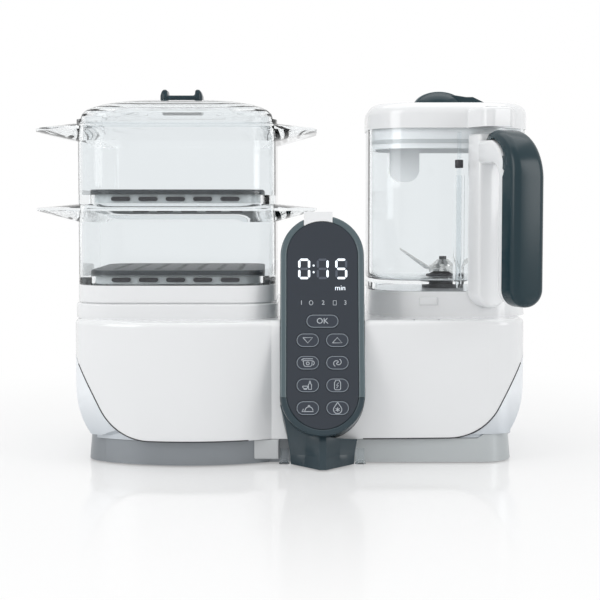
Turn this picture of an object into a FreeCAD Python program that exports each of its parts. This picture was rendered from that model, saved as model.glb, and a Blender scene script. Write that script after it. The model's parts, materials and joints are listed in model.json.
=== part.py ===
import FreeCAD, Part

# A baby food maker: two steamer baskets on the left, a blender jug on the right, and a leaning
# control pod between them on a two-part base.
# The frame: X to the right, Y to the back, Z up; the origin is on the counter, under the middle.
# All sizes are millimetres.

import math
import os
import re

import Sketcher

SIZES = {
    # base
    "base_width": 350.0,
    "base_depth": 190.0,
    "base_corner": 34.0,
    "base_bow_radius": 1600.0,
    "swell_shift": 11.0,
    "swell_radius": 132.0,
    "swell_bulge": 16.0,
    "deck_height": 110.0,
    "deck_edge": 4.5,
    "shell_wall": 2.6,
    "deck_wall": 3.0,
    "parting_low": 19.6,
    "parting_high": 82.6,
    "parting_run": 35.0,
    "parting_round": 44.0,
    "parting_gap": 0.8,
    "hull_wall": 2.4,
    "hull_bottom": 12.2,
    "hull_turn": 66.0,
    "hull_run": 37.0,
    "hull_tuck": 15.0,
    "hull_tuck_top": 36.0,
    "seam": 0.3,
    # bottom pan and feet
    "pan_inset_side": 11.0,
    "pan_inset_front": 5.0,
    "pan_corner": 26.0,
    "pan_wall": 2.0,
    "pan_bottom": 1.0,
    "pan_floor": 5.0,
    "pan_top": 19.0,
    "pan_end_top": 22.0,
    "pan_end_run": 22.0,
    "pan_draft": 5.0,
    "foot_radius": 8.0,
    "foot_inset_side": 20.0,
    "foot_inset_front": 24.0,
    "suction_radius": 4.0,
    "suction_height": 12.0,
    "screw_radius": 2.0,
    "screw_head_radius": 3.8,
    "screw_head_height": 2.0,
    "post_radius": 4.6,
    "post_inset": 50.0,
    "post_spread": 68.0,
    "vent_length": 26.0,
    "vent_width": 3.0,
    "vent_pitch": 7.0,
    "block_width": 32.0,
    "block_room": 1.0,
    "block_foot": 4.0,
    "block_depth": 6.0,
    # control pod, sizes along its leaning face
    "pod_middle": 17.0,
    "pod_width": 64.0,
    "pod_length": 170.4,
    "pod_lean": 16.0,
    "pod_front": 120.0,
    "pod_foot_height": 25.8,
    "pod_depth": 26.0,
    "pod_rim": 5.0,
    "pod_rim_round": 1.6,
    "pod_back_wall": 2.4,
    "pod_seam": 29.0,
    "panel_recess": 0.6,
    "panel_thick": 2.4,
    "panel_clearance": 0.15,
    "panel_ledge": 1.2,
    "key_width": 17.3,
    "key_height": 10.8,
    "ok_width": 24.8,
    "ok_height": 10.5,
    "key_pitch_across": 22.3,
    "key_pitch_along": 17.2,
    "key_first_row": 20.9,
    "ok_row": 87.2,
    "key_clearance": 0.25,
    "key_stand": 0.4,
    "key_flange": 1.2,
    "key_flange_thick": 1.0,
    "key_travel": 0.6,
    "switch_height": 0.9,
    "board_thick": 1.6,
    "display_width": 44.0,
    "display_height": 24.0,
    "display_row": 128.0,
    "column_width": 50.0,
    "column_depth": 12.0,
    "column_length": 163.0,
    "tab_left": 3.0,
    "tab_right": 25.0,
    "tab_thick": 5.0,
    "tab_length": 173.0,
    "tab_lip": 2.4,
    "tab_lap": 20.0,
    "beak_top": 46.0,
    "beak_tip_width": 5.0,
    # steamer
    "pod_room": 2.0,
    "cup_radius": 44.0,
    "cup_wall": 1.2,
    "cup_depth": 22.0,
    "cup_flange": 8.0,
    "gasket_thick": 2.0,
    "heater_ring": 28.0,
    "heater_tube": 4.0,
    "collector_overhang": 2.0,
    "collector_corner": 31.0,
    "collector_height": 25.6,
    "collector_step": 11.5,
    "collector_groove": 1.2,
    "collector_shoulder": 1.7,
    "collector_wall": 2.5,
    "collector_floor": 3.5,
    "chimney_radius": 22.0,
    "chimney_height": 17.0,
    "basket_width": 154.0,
    "basket_depth": 164.0,
    "basket_corner": 30.0,
    "basket_wall": 2.2,
    "basket_height": 62.4,
    "basket_ledge": 7.0,
    "plug_depth": 3.6,
    "plug_clearance": 0.5,
    "wing_reach": 34.5,
    "wing_shift": -2.1,
    "wing_overhang": 4.0,
    "wing_corner": 58.0,
    "wing_thick": 2.2,
    "wing_flare": 8.5,
    "wing_droop": 3.0,
    "floor_inset": 9.0,
    "floor_corner": 22.0,
    "floor_thick": 4.0,
    "floor_skirt": 6.6,
    "floor_skirt_wall": 2.0,
    "floor_clearance": 1.0,
    "floor_hole": 2.6,
    "floor_pitch": 13.0,
    "lid_overhang": 1.0,
    "lid_corner": 31.0,
    "lid_flange": 3.0,
    "lid_height": 20.0,
    "dome_inset": 3.0,
    "lid_wall": 2.2,
    "vent_radius": 2.0,
    "knob_width": 34.0,
    "knob_depth": 24.0,
    "knob_height": 10.3,
    "knob_saddle": 5.8,
    "knob_round": 3.0,
    # motor
    "jug_room": 5.0,
    "can_radius": 36.0,
    "can_wall": 2.4,
    "can_bottom": 28.0,
    "can_top": 84.0,
    "stator_inner": 24.0,
    "stator_bottom": 46.0,
    "stator_top": 72.0,
    "rotor_radius": 22.5,
    "shaft_radius": 4.0,
    "bearing_radius": 9.0,
    "bearing_height": 6.0,
    "fan_radius": 28.0,
    "fan_height": 7.0,
    "bracket_thick": 3.0,
    "bracket_width": 96.0,
    "bracket_depth": 84.0,
    "mount_spread_across": 40.0,
    "mount_spread_along": 34.0,
    "mount_radius": 6.5,
    "mount_height": 4.0,
    "coupling_radius": 8.0,
    "coupling_tooth": 3.0,
    "coupling_height": 10.0,
    "coupling_clearance": 0.6,
    "seat_radius": 38.0,
    "seat_bore": 15.0,
    "seat_height": 4.0,
    "seat_tube": 19.0,
    "seal_thick": 3.0,
    "turn_clearance": 0.05,
    # jug
    "jug_width": 126.0,
    "jug_depth": 124.0,
    "jug_corner": 40.0,
    "collar_height": 20.0,
    "collar_draft": 4.0,
    "collar_wall": 2.8,
    "collar_top": 3.0,
    "jug_floor_height": 25.5,
    "jug_floor_thick": 2.6,
    "jug_wall": 2.6,
    "jug_height": 147.0,
    "bushing_radius": 13.6,
    "bushing_foot": 17.0,
    "blade_shaft_radius": 3.0,
    "hub_radius": 9.0,
    "blade_reach": 36.0,
    "blade_width": 12.0,
    "blade_thick": 1.4,
    "blade_rise": 16.0,
    "handle_turn": -66.0,
    "handle_width": 28.0,
    "spine_thick": 17.2,
    "spine_lift": 8.0,
    "handle_drop": 5.0,
    "finger_gap": 26.0,
    "grip_inner": 8.0,
    "grip_cover": 17.0,
    "grip_lift": 11.0,
    "grip_round": 30.0,
    "grip_edge": 3.0,
    "bridge_drop": 15.0,
    "rod_angle_x": 6.0,
    "rod_radius": 1.6,
    "rod_head": 3.0,
    "rod_head_drop": 31.0,
    "rod_head_height": 6.0,
    "rod_lift": 23.0,
    "rod_travel": 3.0,
    "rod_guide": 4.4,
    "rod_guide_drop": 37.0,
    # jug lid
    "cap_rise": 20.0,
    "cap_round": 9.0,
    "cap_wall": 2.6,
    "cap_skirt": 15.6,
    "cap_fit": 0.7,
    "cap_seal_height": 3.0,
    "cap_seal_thick": 1.6,
    "cap_hole": 15.0,
    "lobe_reach": 90.0,
    "lobe_width": 28.0,
    "lobe_top": 15.0,
    "tongue_left": -44.2,
    "tongue_right": -20.0,
    "tongue_drop": 41.0,
    "tongue_thick": 12.0,
    "flap_left": -25.0,
    "flap_right": 26.0,
    "flap_rise": 12.0,
    "flap_width": 35.0,
    "flap_clearance": 0.4,
    # rear
    "gland_across": 60.0,
    "gland_height": 34.0,
    "gland_radius": 8.0,
    "gland_bore": 3.6,
    "gland_flange": 3.0,
}

DERIVED = {
    "pan_width": "base_width - 2 * pan_inset_side",
    "pan_depth": "base_depth - 2 * pan_inset_front",
    "collector_width": "basket_width + 2 * collector_overhang",
    "collector_depth": "basket_depth + 2 * collector_overhang",
    "wing_span": "basket_width + 2 * wing_reach",
    "wing_depth": "basket_depth + 2 * wing_overhang",
    "floor_width": "basket_width - 2 * floor_inset",
    "floor_depth": "basket_depth - 2 * floor_inset",
    "lid_width": "basket_width + 2 * lid_overhang",
    "lid_depth": "basket_depth + 2 * lid_overhang",
    "steam_middle": "pod_middle - pod_width / 2 - pod_room - collector_width / 2",
    "jug_middle": "pod_middle + pod_width / 2 + jug_room + jug_width / 2",
    "swell_middle": "steam_middle + swell_shift",
    "swell_hub": "swell_radius - swell_bulge - base_depth / 2",
    "block_right": "pod_middle - pod_width / 2 - block_room",
    "block_left": "block_right - block_width",
    "jug_top": "deck_height + jug_height",
    "spine_foot": "deck_height + spine_lift",
    "handle_top": "jug_top - handle_drop",
    "grip_foot": "deck_height + grip_lift",
    "rod_bottom": "deck_height + rod_lift",
    "rod_head_bottom": "jug_top - rod_head_drop",
    "rod_head_top": "rod_head_bottom + rod_head_height",
    "rod_guide_top": "jug_top - rod_guide_drop",
    "panel_width": "pod_width - 2 * pod_rim",
    "panel_length": "pod_length - 2 * pod_rim",
    "panel_front": "panel_recess",
    "panel_back": "panel_recess + panel_thick",
    "key_back": "panel_back + seam + key_flange_thick",
    "switch_back": "key_back + key_travel + 0.1 + switch_height",
    "collector_top": "deck_height + collector_height",
    "lower_rim": "collector_top + basket_height",
    "upper_rim": "lower_rim + basket_height",
    "deck_under": "deck_height - deck_wall",
    "floor_rise": "basket_ledge + seam",
    "collar_top_height": "deck_height + collar_height",
    "jug_floor": "deck_height + jug_floor_height",
    "cap_top": "jug_top + cap_rise",
    "jug_reach": "jug_depth / 2",
    "handle_start": "jug_depth / 2",
    "spine_out": "handle_start + spine_thick",
    "grip_in": "spine_out + finger_gap",
    "grip_split": "grip_in + grip_inner",
    "grip_out": "grip_split + grip_cover",
    "bracket_bottom": "can_top",
    "bracket_top": "can_top + bracket_thick",
    "shaft_top": "deck_height + 15",
    "coupling_bottom": "deck_height + seat_height + 1",
    "flap_bottom": "cap_top + flap_clearance",
}

doc = FreeCAD.newDocument("BabyFoodMaker")
sheet = doc.addObject("Spreadsheet::Sheet", "Sizes")
for row, (size_name, size) in enumerate(SIZES.items(), start=1):
    sheet.set("A%d" % row, size_name)
    sheet.set("B%d" % row, str(size))
    sheet.setAlias("B%d" % row, size_name)
doc.recompute()
probe = doc.addObject("App::FeaturePython", "Probe")
parts = []


# Formulas and placing ---------------------------------------------------------------------------

def formula(text):
    """Spell a formula over the named sizes the way the sheet reads it."""
    def swap(match):
        word = match.group()
        if word in DERIVED:
            return "(" + formula(DERIVED[word]) + ")"
        return "Sizes." + word if word in SIZES else word
    return re.sub(r"[a-z_]+", swap, str(text))


def value(text):
    """The number that a formula gives."""
    return float(probe.evalExpression(formula(text)))


def place(thing, x="0", y="0", z="0"):
    """Bind the place of a body or a primitive to formulas."""
    thing.setExpression("Placement.Base.x", formula(x))
    thing.setExpression("Placement.Base.y", formula(y))
    thing.setExpression("Placement.Base.z", formula(z))
    return thing


def turn(thing, axis, angle):
    """Turn a body or a primitive by a bound angle about an axis through its own origin."""
    thing.Placement = FreeCAD.Placement(thing.Placement.Base, FreeCAD.Rotation(FreeCAD.Vector(*axis), 1))
    thing.setExpression("Placement.Rotation.Angle", formula(angle))
    return thing


def keep(thing, name):
    """Name a finished sub-part, which also names its file."""
    thing.Label = name
    parts.append(thing)
    return thing


# Sketches ---------------------------------------------------------------------------------------

def new_body(name):
    """A body for one piece or one cutting tool."""
    return doc.addObject("PartDesign::Body", name)


def new_sketch(body, plane, offset="0"):
    """A sketch on one of the body's own origin planes, at a bound offset."""
    sketch = body.newObject("Sketcher::SketchObject", body.Name + "Sketch")
    support = [face for face in body.Origin.OriginFeatures if face.Role == plane + "_Plane"][0]
    sketch.AttachmentSupport = [(support, "")]
    sketch.MapMode = "FlatFace"
    sketch.setExpression("AttachmentOffset.Base.z", formula(offset))
    return sketch


def bind(sketch, kind, items, text):
    """Add one measured constraint and bind it to a formula."""
    index = sketch.addConstraint(Sketcher.Constraint(kind, *items, value(text)))
    sketch.renameConstraint(index, "size%d" % index)
    sketch.setExpression("Constraints.size%d" % index, formula(text))


def bind_point(sketch, geometry, point, x, y):
    """Hold a point at bound coordinates."""
    bind(sketch, "DistanceX", (-1, 1, geometry, point), x)
    bind(sketch, "DistanceY", (-1, 1, geometry, point), y)


def corner_arc(before, corner, after, radius):
    """Start, middle, end and turning sense of the round that blends a corner."""
    into = (corner - before).normalize()
    out = (after - corner).normalize()
    half = math.acos(max(-1.0, min(1.0, into.dot(out)))) / 2
    start = corner - into * radius * math.tan(half)
    end = corner + out * radius * math.tan(half)
    left = into.cross(out).z > 0
    normal = FreeCAD.Vector(-into.y, into.x, 0) * (radius if left else -radius)
    return start, end, start + normal, left


def draw(sketch, corners):
    """Draw a closed outline of corners (x, y) or (x, y, radius), every one of them a formula."""
    points = [FreeCAD.Vector(value(c[0]), value(c[1]), 0) for c in corners]
    count = len(corners)
    starts, ends, arcs = [None] * count, [None] * count, [None] * count
    for index, corner in enumerate(corners):
        starts[index] = ends[index] = points[index]
        if len(corner) > 2:
            arc = corner_arc(points[index - 1], points[index], points[(index + 1) % count],
                             value(corner[2]))
            starts[index], ends[index], arcs[index] = arc[0], arc[1], arc
    lines = [sketch.addGeometry(Part.LineSegment(ends[i], starts[(i + 1) % count])) for i in range(count)]
    for index, corner in enumerate(corners):
        before, after = lines[index - 1], lines[index]
        if arcs[index] is None:
            sketch.addConstraint(Sketcher.Constraint("Coincident", before, 2, after, 1))
            bind_point(sketch, after, 1, corner[0], corner[1])
            continue
        round_corner(sketch, corner, points[index], arcs[index], before, after)


def round_corner(sketch, corner, point, arc, before, after):
    """Join two lines by a tangent arc and hold the corner that they aim at."""
    start, end, centre, left = arc
    first, last = (start, end) if left else (end, start)
    angles = [math.atan2(p.y - centre.y, p.x - centre.x) for p in (first, last)]
    circle = Part.Circle(centre, FreeCAD.Vector(0, 0, 1), (first - centre).Length)
    blend = sketch.addGeometry(Part.ArcOfCircle(circle, angles[0], angles[1]))
    ends = (1, 2) if left else (2, 1)
    sketch.addConstraint(Sketcher.Constraint("Tangent", before, 2, blend, ends[0]))
    sketch.addConstraint(Sketcher.Constraint("Tangent", blend, ends[1], after, 1))
    bind(sketch, "Radius", (blend,), corner[2])
    aim = sketch.addGeometry(Part.Point(point), True)
    bind_point(sketch, aim, 1, corner[0], corner[1])
    sketch.addConstraint(Sketcher.Constraint("PointOnObject", aim, 1, before))
    sketch.addConstraint(Sketcher.Constraint("PointOnObject", aim, 1, after))


def draw_box(sketch, width, depth, corner=None, x="0", y="0"):
    """Draw a centred rectangle, with round corners if a radius is given."""
    signs = ((-1, -1), (1, -1), (1, 1), (-1, 1))
    outline = [("(%s) + %d * (%s) / 2" % (x, i, width), "(%s) + %d * (%s) / 2" % (y, j, depth))
               for i, j in signs]
    draw(sketch, [point + ((corner,) if corner else ()) for point in outline])


def draw_circle(sketch, radius, x="0", y="0"):
    """Draw a circle of bound radius and centre."""
    centre = FreeCAD.Vector(value(x), value(y), 0)
    circle = sketch.addGeometry(Part.Circle(centre, FreeCAD.Vector(0, 0, 1), value(radius)))
    bind(sketch, "Radius", (circle,), radius)
    bind_point(sketch, circle, 3, x, y)


def draw_pill(sketch, across, along, x="0", y="0", upright=False):
    """Draw a pill: two half circles of the smaller size joined by straight sides."""
    radius = "(%s) / 2" % (across if upright else along)
    reach = "((%s) - (%s)) / 2" % ((along, across) if upright else (across, along))
    size, half = value(radius), value(reach)
    middle = FreeCAD.Vector(value(x), value(y), 0)
    run = FreeCAD.Vector(0, half, 0) if upright else FreeCAD.Vector(half, 0, 0)
    side = FreeCAD.Vector(size, 0, 0) if upright else FreeCAD.Vector(0, -size, 0)
    turned = 0.0 if upright else -math.pi / 2
    axis = FreeCAD.Vector(0, 0, 1)
    far = sketch.addGeometry(Part.ArcOfCircle(Part.Circle(middle + run, axis, size), turned,
                                              turned + math.pi))
    near = sketch.addGeometry(
        Part.ArcOfCircle(Part.Circle(middle - run, axis, size), turned + math.pi, turned + 2 * math.pi))
    lines = [sketch.addGeometry(Part.LineSegment(middle - run + side, middle + run + side)),
             sketch.addGeometry(Part.LineSegment(middle + run - side, middle - run - side))]
    for first, first_end, second, second_end in ((lines[0], 2, far, 1), (far, 2, lines[1], 1),
                                                 (lines[1], 2, near, 1), (near, 2, lines[0], 1)):
        sketch.addConstraint(Sketcher.Constraint("Tangent", first, first_end, second, second_end))
    sketch.addConstraint(Sketcher.Constraint("Equal", far, near))
    bind(sketch, "Radius", (far,), radius)
    shift = ("0", reach) if upright else (reach, "0")
    bind_point(sketch, far, 3, "(%s) + %s" % (x, shift[0]), "(%s) + %s" % (y, shift[1]))
    bind_point(sketch, near, 3, "(%s) - %s" % (x, shift[0]), "(%s) - %s" % (y, shift[1]))


def meeting(hub, radius, other_hub, other_radius):
    """Where two circles meet, on the right of the line from the first hub to the second."""
    span = (other_hub[0] - hub[0], other_hub[1] - hub[1])
    apart = math.hypot(*span)
    along = (radius ** 2 - other_radius ** 2 + apart ** 2) / (2 * apart)
    aside = math.sqrt(radius ** 2 - along ** 2)
    return (hub[0] + (along * span[0] + aside * span[1]) / apart,
            hub[1] + (along * span[1] - aside * span[0]) / apart)


def draw_bowed(sketch, width, depth, corner, bow, swell):
    """Draw a rounded rectangle with bowed front and back, and a swell at the left of its front."""
    half_width, half_depth = value(width) / 2, value(depth) / 2
    small, large, wide = value(corner), value(bow), value(swell)
    hub = (0, large - half_depth)
    right_x = half_width - small
    corner_y = hub[1] - math.sqrt((large - small) ** 2 - right_x ** 2)
    lean = math.atan2(hub[1] - corner_y, right_x)
    swell_hub = (value("swell_middle"), value("swell_hub"))
    reach = -right_x - swell_hub[0]
    near_y = swell_hub[1] - math.sqrt((wide - small) ** 2 - reach ** 2)
    swing = math.atan2(near_y - swell_hub[1], reach)
    meet = meeting(swell_hub, wide, hub, large)
    ends = {"front": math.atan2(meet[1] - hub[1], meet[0]),
            "swell": math.atan2(meet[1] - swell_hub[1], meet[0] - swell_hub[0])}

    def arc(centre, radius, first, last):
        circle = Part.Circle(FreeCAD.Vector(*centre, 0), FreeCAD.Vector(0, 0, 1), radius)
        return sketch.addGeometry(Part.ArcOfCircle(circle, first, last))

    def side(x, start, end):
        return sketch.addGeometry(Part.LineSegment(FreeCAD.Vector(x, start, 0), FreeCAD.Vector(x, end, 0)))

    swelling = arc(swell_hub, wide, swing, ends["swell"])
    front = arc(hub, large, ends["front"], -lean)
    front_right = arc((right_x, corner_y), small, -lean, 0)
    right = side(half_width, corner_y, -corner_y)
    back_right = arc((right_x, -corner_y), small, 0, lean)
    back = arc((0, -hub[1]), large, lean, math.pi - lean)
    back_left = arc((-right_x, -corner_y), small, math.pi - lean, math.pi)
    left = side(-half_width, -corner_y, near_y)
    front_left = arc((-right_x, near_y), small, math.pi, 2 * math.pi + swing)
    chain = (front, front_right, right, back_right, back, back_left, left, front_left, swelling)
    for first, second in zip(chain, chain[1:]):
        sketch.addConstraint(Sketcher.Constraint("Tangent", first, 2, second, 1))
    sketch.addConstraint(Sketcher.Constraint("Coincident", swelling, 2, front, 1))
    for round_end in (front_right, back_right, back_left, front_left):
        bind(sketch, "Radius", (round_end,), corner)
    for curve, sign in ((front, "1"), (back, "-1")):
        bind(sketch, "Radius", (curve,), bow)
        bind_point(sketch, curve, 3, "0", "%s * ((%s) - (%s) / 2)" % (sign, bow, depth))
    bind(sketch, "Radius", (swelling,), swell)
    bind_point(sketch, swelling, 3, "swell_middle", "swell_hub")
    bind(sketch, "DistanceX", (-1, 1, right, 1), "(%s) / 2" % width)
    bind(sketch, "DistanceX", (-1, 1, left, 1), "-(%s) / 2" % width)


# Features ---------------------------------------------------------------------------------------

def pad(body, sketch, length, both=False, flip=False, draft=None):
    """Pad a sketch by a bound length."""
    feature = body.newObject("PartDesign::Pad", body.Name + "Pad")
    feature.Profile = sketch
    feature.SideType = "Symmetric" if both else "One side"
    feature.Reversed = flip
    feature.setExpression("Length", formula(length))
    if draft:
        feature.setExpression("TaperAngle", formula(draft))
    doc.recompute()
    return feature


def loft(body, name, sketches):
    """Loft through sketches in order, straight from each to the next."""
    feature = body.newObject("PartDesign::AdditiveLoft", name)
    feature.Profile = sketches[0]
    feature.Sections = sketches[1:]
    feature.Ruled = True
    doc.recompute()
    return feature


def pocket(body, sketch, length, both=False, flip=False, draft=None):
    """Cut a sketch into the body by a bound length, and see that it cut something."""
    before = body.Shape.Volume
    feature = body.newObject("PartDesign::Pocket", body.Name + "Pocket")
    feature.Profile = sketch
    feature.SideType = "Symmetric" if both else "One side"
    feature.Reversed = flip
    feature.setExpression("Length", formula(length))
    if draft:
        feature.setExpression("TaperAngle", formula(draft))
    doc.recompute()
    if body.Shape.Volume >= before - 1e-6:
        raise ValueError("nothing was cut from " + body.Name)
    return feature


def soften(body, pick, radius):
    """Fillet the edges that a test picks, with a bound radius."""
    doc.recompute()
    shape = body.Tip.Shape
    names = ["Edge%d" % number for number, edge in enumerate(shape.Edges, start=1) if pick(edge)]
    if not names:
        raise ValueError("no edge to soften on " + body.Name)
    feature = body.newObject("PartDesign::Fillet", body.Name + "Fillet")
    feature.Base = (body.Tip if body.Tip != feature else feature.BaseFeature, names)
    feature.setExpression("Radius", formula(radius))
    doc.recompute()
    return feature


def at_height(height):
    """A test for edges that lie level at a height."""
    level = value(height)
    return lambda edge: max(abs(edge.BoundBox.ZMin - level), abs(edge.BoundBox.ZMax - level)) < 0.01


def at_depth(depth):
    """A test for edges that lie at one depth of a body's own Y."""
    level = value(depth)
    return lambda edge: max(abs(edge.BoundBox.YMin - level), abs(edge.BoundBox.YMax - level)) < 0.01


def slab(name, shape, bottom, height, draft=None):
    """A body padded up from a level outline; shape draws the outline in a sketch."""
    body = new_body(name)
    sketch = new_sketch(body, "XY", bottom)
    shape(sketch)
    pad(body, sketch, height, draft=draft)
    return body


def across(name, shape, depth, front=None):
    """A body padded along Y from an upright outline; from the front plane back, or both ways."""
    body = new_body(name)
    sketch = new_sketch(body, "XZ", "-(%s)" % front if front is not None else "0")
    shape(sketch)
    pad(body, sketch, depth, both=front is None, flip=front is not None)
    return body


def turned(name, corners):
    """A body revolved about its own Z axis from corners (radius, height)."""
    body = new_body(name)
    sketch = new_sketch(body, "XZ")
    draw(sketch, corners)
    feature = body.newObject("PartDesign::Revolution", name + "Turn")
    feature.Profile = sketch
    feature.ReferenceAxis = (sketch, ["V_Axis"])
    feature.Angle = 360
    doc.recompute()
    return body


def ring(name, inner, outer, bottom, top):
    """A turned ring of plain section."""
    return turned(name, [(inner, bottom), (outer, bottom), (outer, top), (inner, top)])


def cylinder(name, radius, height, x="0", y="0", z="0"):
    """A bound Part cylinder."""
    thing = doc.addObject("Part::Cylinder", name)
    thing.setExpression("Radius", formula(radius))
    thing.setExpression("Height", formula(height))
    return place(thing, x, y, z)


def block(name, length, width, height, x="0", y="0", z="0"):
    """A bound Part box, placed by its lowest corner."""
    thing = doc.addObject("Part::Box", name)
    thing.setExpression("Length", formula(length))
    thing.setExpression("Width", formula(width))
    thing.setExpression("Height", formula(height))
    return place(thing, x, y, z)


def cut(name, base, tool, always=True):
    """One solid less another; a tool that must always cut is tested."""
    result = doc.addObject("Part::Cut", name)
    result.Base = base
    result.Tool = tool
    doc.recompute()
    if always and result.Shape.Volume >= base.Shape.Volume - 1e-6:
        raise ValueError("nothing was cut for " + name)
    return result


def shared(name, first, second):
    """The common volume of two solids."""
    result = doc.addObject("Part::MultiCommon", name)
    result.Shapes = [first, second]
    result.Refine = True
    doc.recompute()
    return result


def joined(name, things):
    """Several touching solids made one."""
    result = doc.addObject("Part::MultiFuse", name)
    result.Shapes = things
    result.Refine = True
    doc.recompute()
    return result


def group(name, things):
    """Separate alike solids that share one node."""
    result = doc.addObject("Part::Compound", name)
    result.Links = things
    doc.recompute()
    return result


# Base -------------------------------------------------------------------------------------------

def base_outline(inset="0"):
    """The base's plan, inset by a formula."""
    def shape(sketch):
        draw_bowed(sketch, "base_width - 2 * (%s)" % inset, "base_depth - 2 * (%s)" % inset,
                   "base_corner - (%s)" % inset, "base_bow_radius", "swell_radius - (%s)" % inset)
    return shape


def swell_lens(name, inset, bottom, height):
    """The part of the swell's round that stands in front of the pan, inset by a formula."""
    disc = cylinder(name + "Disc", "swell_radius - (%s)" % inset, height, "swell_middle", "swell_hub",
                    bottom)
    front = "pan_depth / 2 - 1"
    reach = block(name + "Reach", "2 * swell_radius", "swell_radius", height, "swell_middle - swell_radius",
                  "-(%s) - swell_radius" % front, bottom)
    return shared(name, disc, reach)


def parting(lowered="0"):
    """The curve between white shell and silver hull, from the front, closed far above."""
    side, low = "base_width / 2", "parting_low - (%s)" % lowered
    high = "parting_high - (%s)" % lowered
    outline = []
    for sign in ("-1", "1"):
        foot = ("%s * (%s - parting_run)" % (sign, side), low, "parting_round")
        end = ("%s * (%s + 5)" % (sign, side), "%s + 5 * (parting_high - parting_low) / parting_run" % high)
        top = ("%s * (%s + 5)" % (sign, side), "deck_height + 20")
        outline += [top, end, foot] if sign == "-1" else [foot, end, top]
    return lambda sketch: draw(sketch, outline)


def post_places():
    """Where the screw posts stand."""
    return [("%s * (base_width / 2 - post_inset)" % i, "%s * post_spread" % j)
            for i in "-1 1".split() for j in "-1 1".split()]


def pod_prism(name, grow, front, depth):
    """A pill-shaped prism on the leaning axis of the pod."""
    def shape(sketch):
        draw_pill(sketch, "pod_width + 2 * (%s)" % grow, "pod_length + 2 * (%s)" % grow, "0",
                  "pod_length / 2", upright=True)
    return lean(across(name, shape, depth, front))


def lean(thing):
    """Stand a piece of the pod on its leaning axis."""
    turn(thing, (1, 0, 0), "-pod_lean")
    return place(thing, "pod_middle", "-pod_front", "pod_foot_height")


def make_base_shell():
    """White upper casing: bowed walls, a deck with two wells, screw posts and a notch for the pod."""
    body = slab("ShellBody", base_outline(), "0", "deck_height")
    soften(body, at_height("deck_height"), "deck_edge")
    inner = new_sketch(body, "XY", "deck_under")
    base_outline("shell_wall")(inner)
    pocket(body, inner, "deck_height")
    wells = new_sketch(body, "XY", "deck_height")
    draw_circle(wells, "cup_radius + seam", "steam_middle")
    draw_circle(wells, "seat_tube + seam", "jug_middle")
    pocket(body, wells, "2 * deck_wall")
    trimmed = shared("ShellTrim", body, across("ShellCurve", parting(), "base_depth + 4 * swell_bulge"))
    posts = [cylinder("ShellPost%d" % i, "post_radius",
                      "deck_height - pan_floor - pan_wall - deck_wall / 2",
                      x, y, "pan_floor + pan_wall") for i, (x, y) in enumerate(post_places())]
    for i, (x, y) in enumerate(mount_places()):
        posts.append(cylinder("ShellBoss%d" % i, "post_radius",
                              "deck_under - bracket_top - mount_height + 1",
                              x, y, "bracket_top + mount_height"))
    solid = joined("ShellSolid", [trimmed] + posts)
    notched = cut("ShellNotch", solid, pod_prism("ShellPodTool", "seam", "-60", "60 + pod_depth + seam"))
    bore = cylinder("ShellGlandBore", "gland_radius - 2", "30", "gland_across", "base_depth / 2 + 10",
                    "gland_height")
    turn(bore, (1, 0, 0), "90")
    keep(cut("BaseShell", notched, bore), "base_shell")


def hull_front(inset):
    """The hull's silhouette from the front: flat sides that turn in to a narrow keel."""
    side = "base_width / 2 - (%s)" % inset
    foot = "base_width / 2 - hull_run - (%s)" % inset
    steps = 5
    outline = []
    for step in range(steps + 1):
        bend = 90.0 * step / steps
        x = "(%s) + hull_run * cos(%s)" % (foot, bend)
        z = "hull_turn - (hull_turn - hull_bottom) * sin(%s)" % bend
        outline.append((x, z))
    rise = "base_width"
    right = [("(%s)" % side, rise)] + outline
    left = [("-(%s)" % x, z) for x, z in right][::-1]
    return lambda sketch: draw_curved(sketch, right, left)


def draw_curved(sketch, right, left):
    """Draw a closed outline whose flanks are splines through bound points."""
    for flank in (right[1:], left[:-1]):
        points = [FreeCAD.Vector(value(x), value(y), 0) for x, y in flank]
        curve = Part.BSplineCurve()
        curve.interpolate(points)
        sketch.addGeometry(curve)
    ends = [right[-1], left[0], left[-2], left[-1], right[0], right[1]]
    spots = [FreeCAD.Vector(value(x), value(y), 0) for x, y in ends]
    for first, second in ((0, 1), (2, 3), (3, 4), (4, 5)):
        sketch.addGeometry(Part.LineSegment(spots[first], spots[second]))


def hull_side(inset):
    """The hull's silhouette from the side: it tucks in near the counter, and has room for the swell."""
    deep = "base_depth / 2 - (%s)" % inset
    foot = "base_depth / 2 - hull_tuck - (%s)" % inset
    bulged = "-(%s) - swell_bulge" % deep
    outline = [("-(%s)" % foot, "hull_bottom - 5"), (foot, "hull_bottom - 5"), (foot, "hull_bottom"),
               (deep, "hull_tuck_top"), (deep, "deck_height"), (bulged, "deck_height"),
               (bulged, "hull_tuck_top"), ("-(%s)" % foot, "hull_bottom")]
    return lambda sketch: draw(sketch, outline)


def hull_block(name, inset):
    """The solid that the hull's outside or inside surface encloses."""
    plan = slab(name + "Plan", base_outline(inset), "hull_bottom - (%s)" % inset, "deck_height")
    front = across(name + "Front", hull_front(inset), "base_depth + 4 * swell_bulge")
    body = new_body(name + "Side")
    sketch = new_sketch(body, "YZ")
    hull_side(inset)(sketch)
    pad(body, sketch, "base_width + 20", both=True)
    return shared(name + "Block", shared(name + "Pair", plan, front), body)


def make_base_skirt():
    """Silver hull under the shell: an open ring that the shell's curve parts."""
    outer = hull_block("HullOuter", "0")
    walls = cut("HullWalls", outer, hull_block("HullInner", "hull_wall"))
    above = across("HullCurve", parting("parting_gap"), "base_depth + 4 * swell_bulge")
    lower = cut("HullLower", walls, above)
    pod = pod_prism("HullPodTool", "seam", "-60", "60 + pod_depth + seam")
    free = cut("HullFree", lower, pod, always=False)
    keep(cut("BaseSkirt", free, slab("HullPanTool", pan_ring, "0", "pan_end_top + seam")), "base_skirt")


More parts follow.
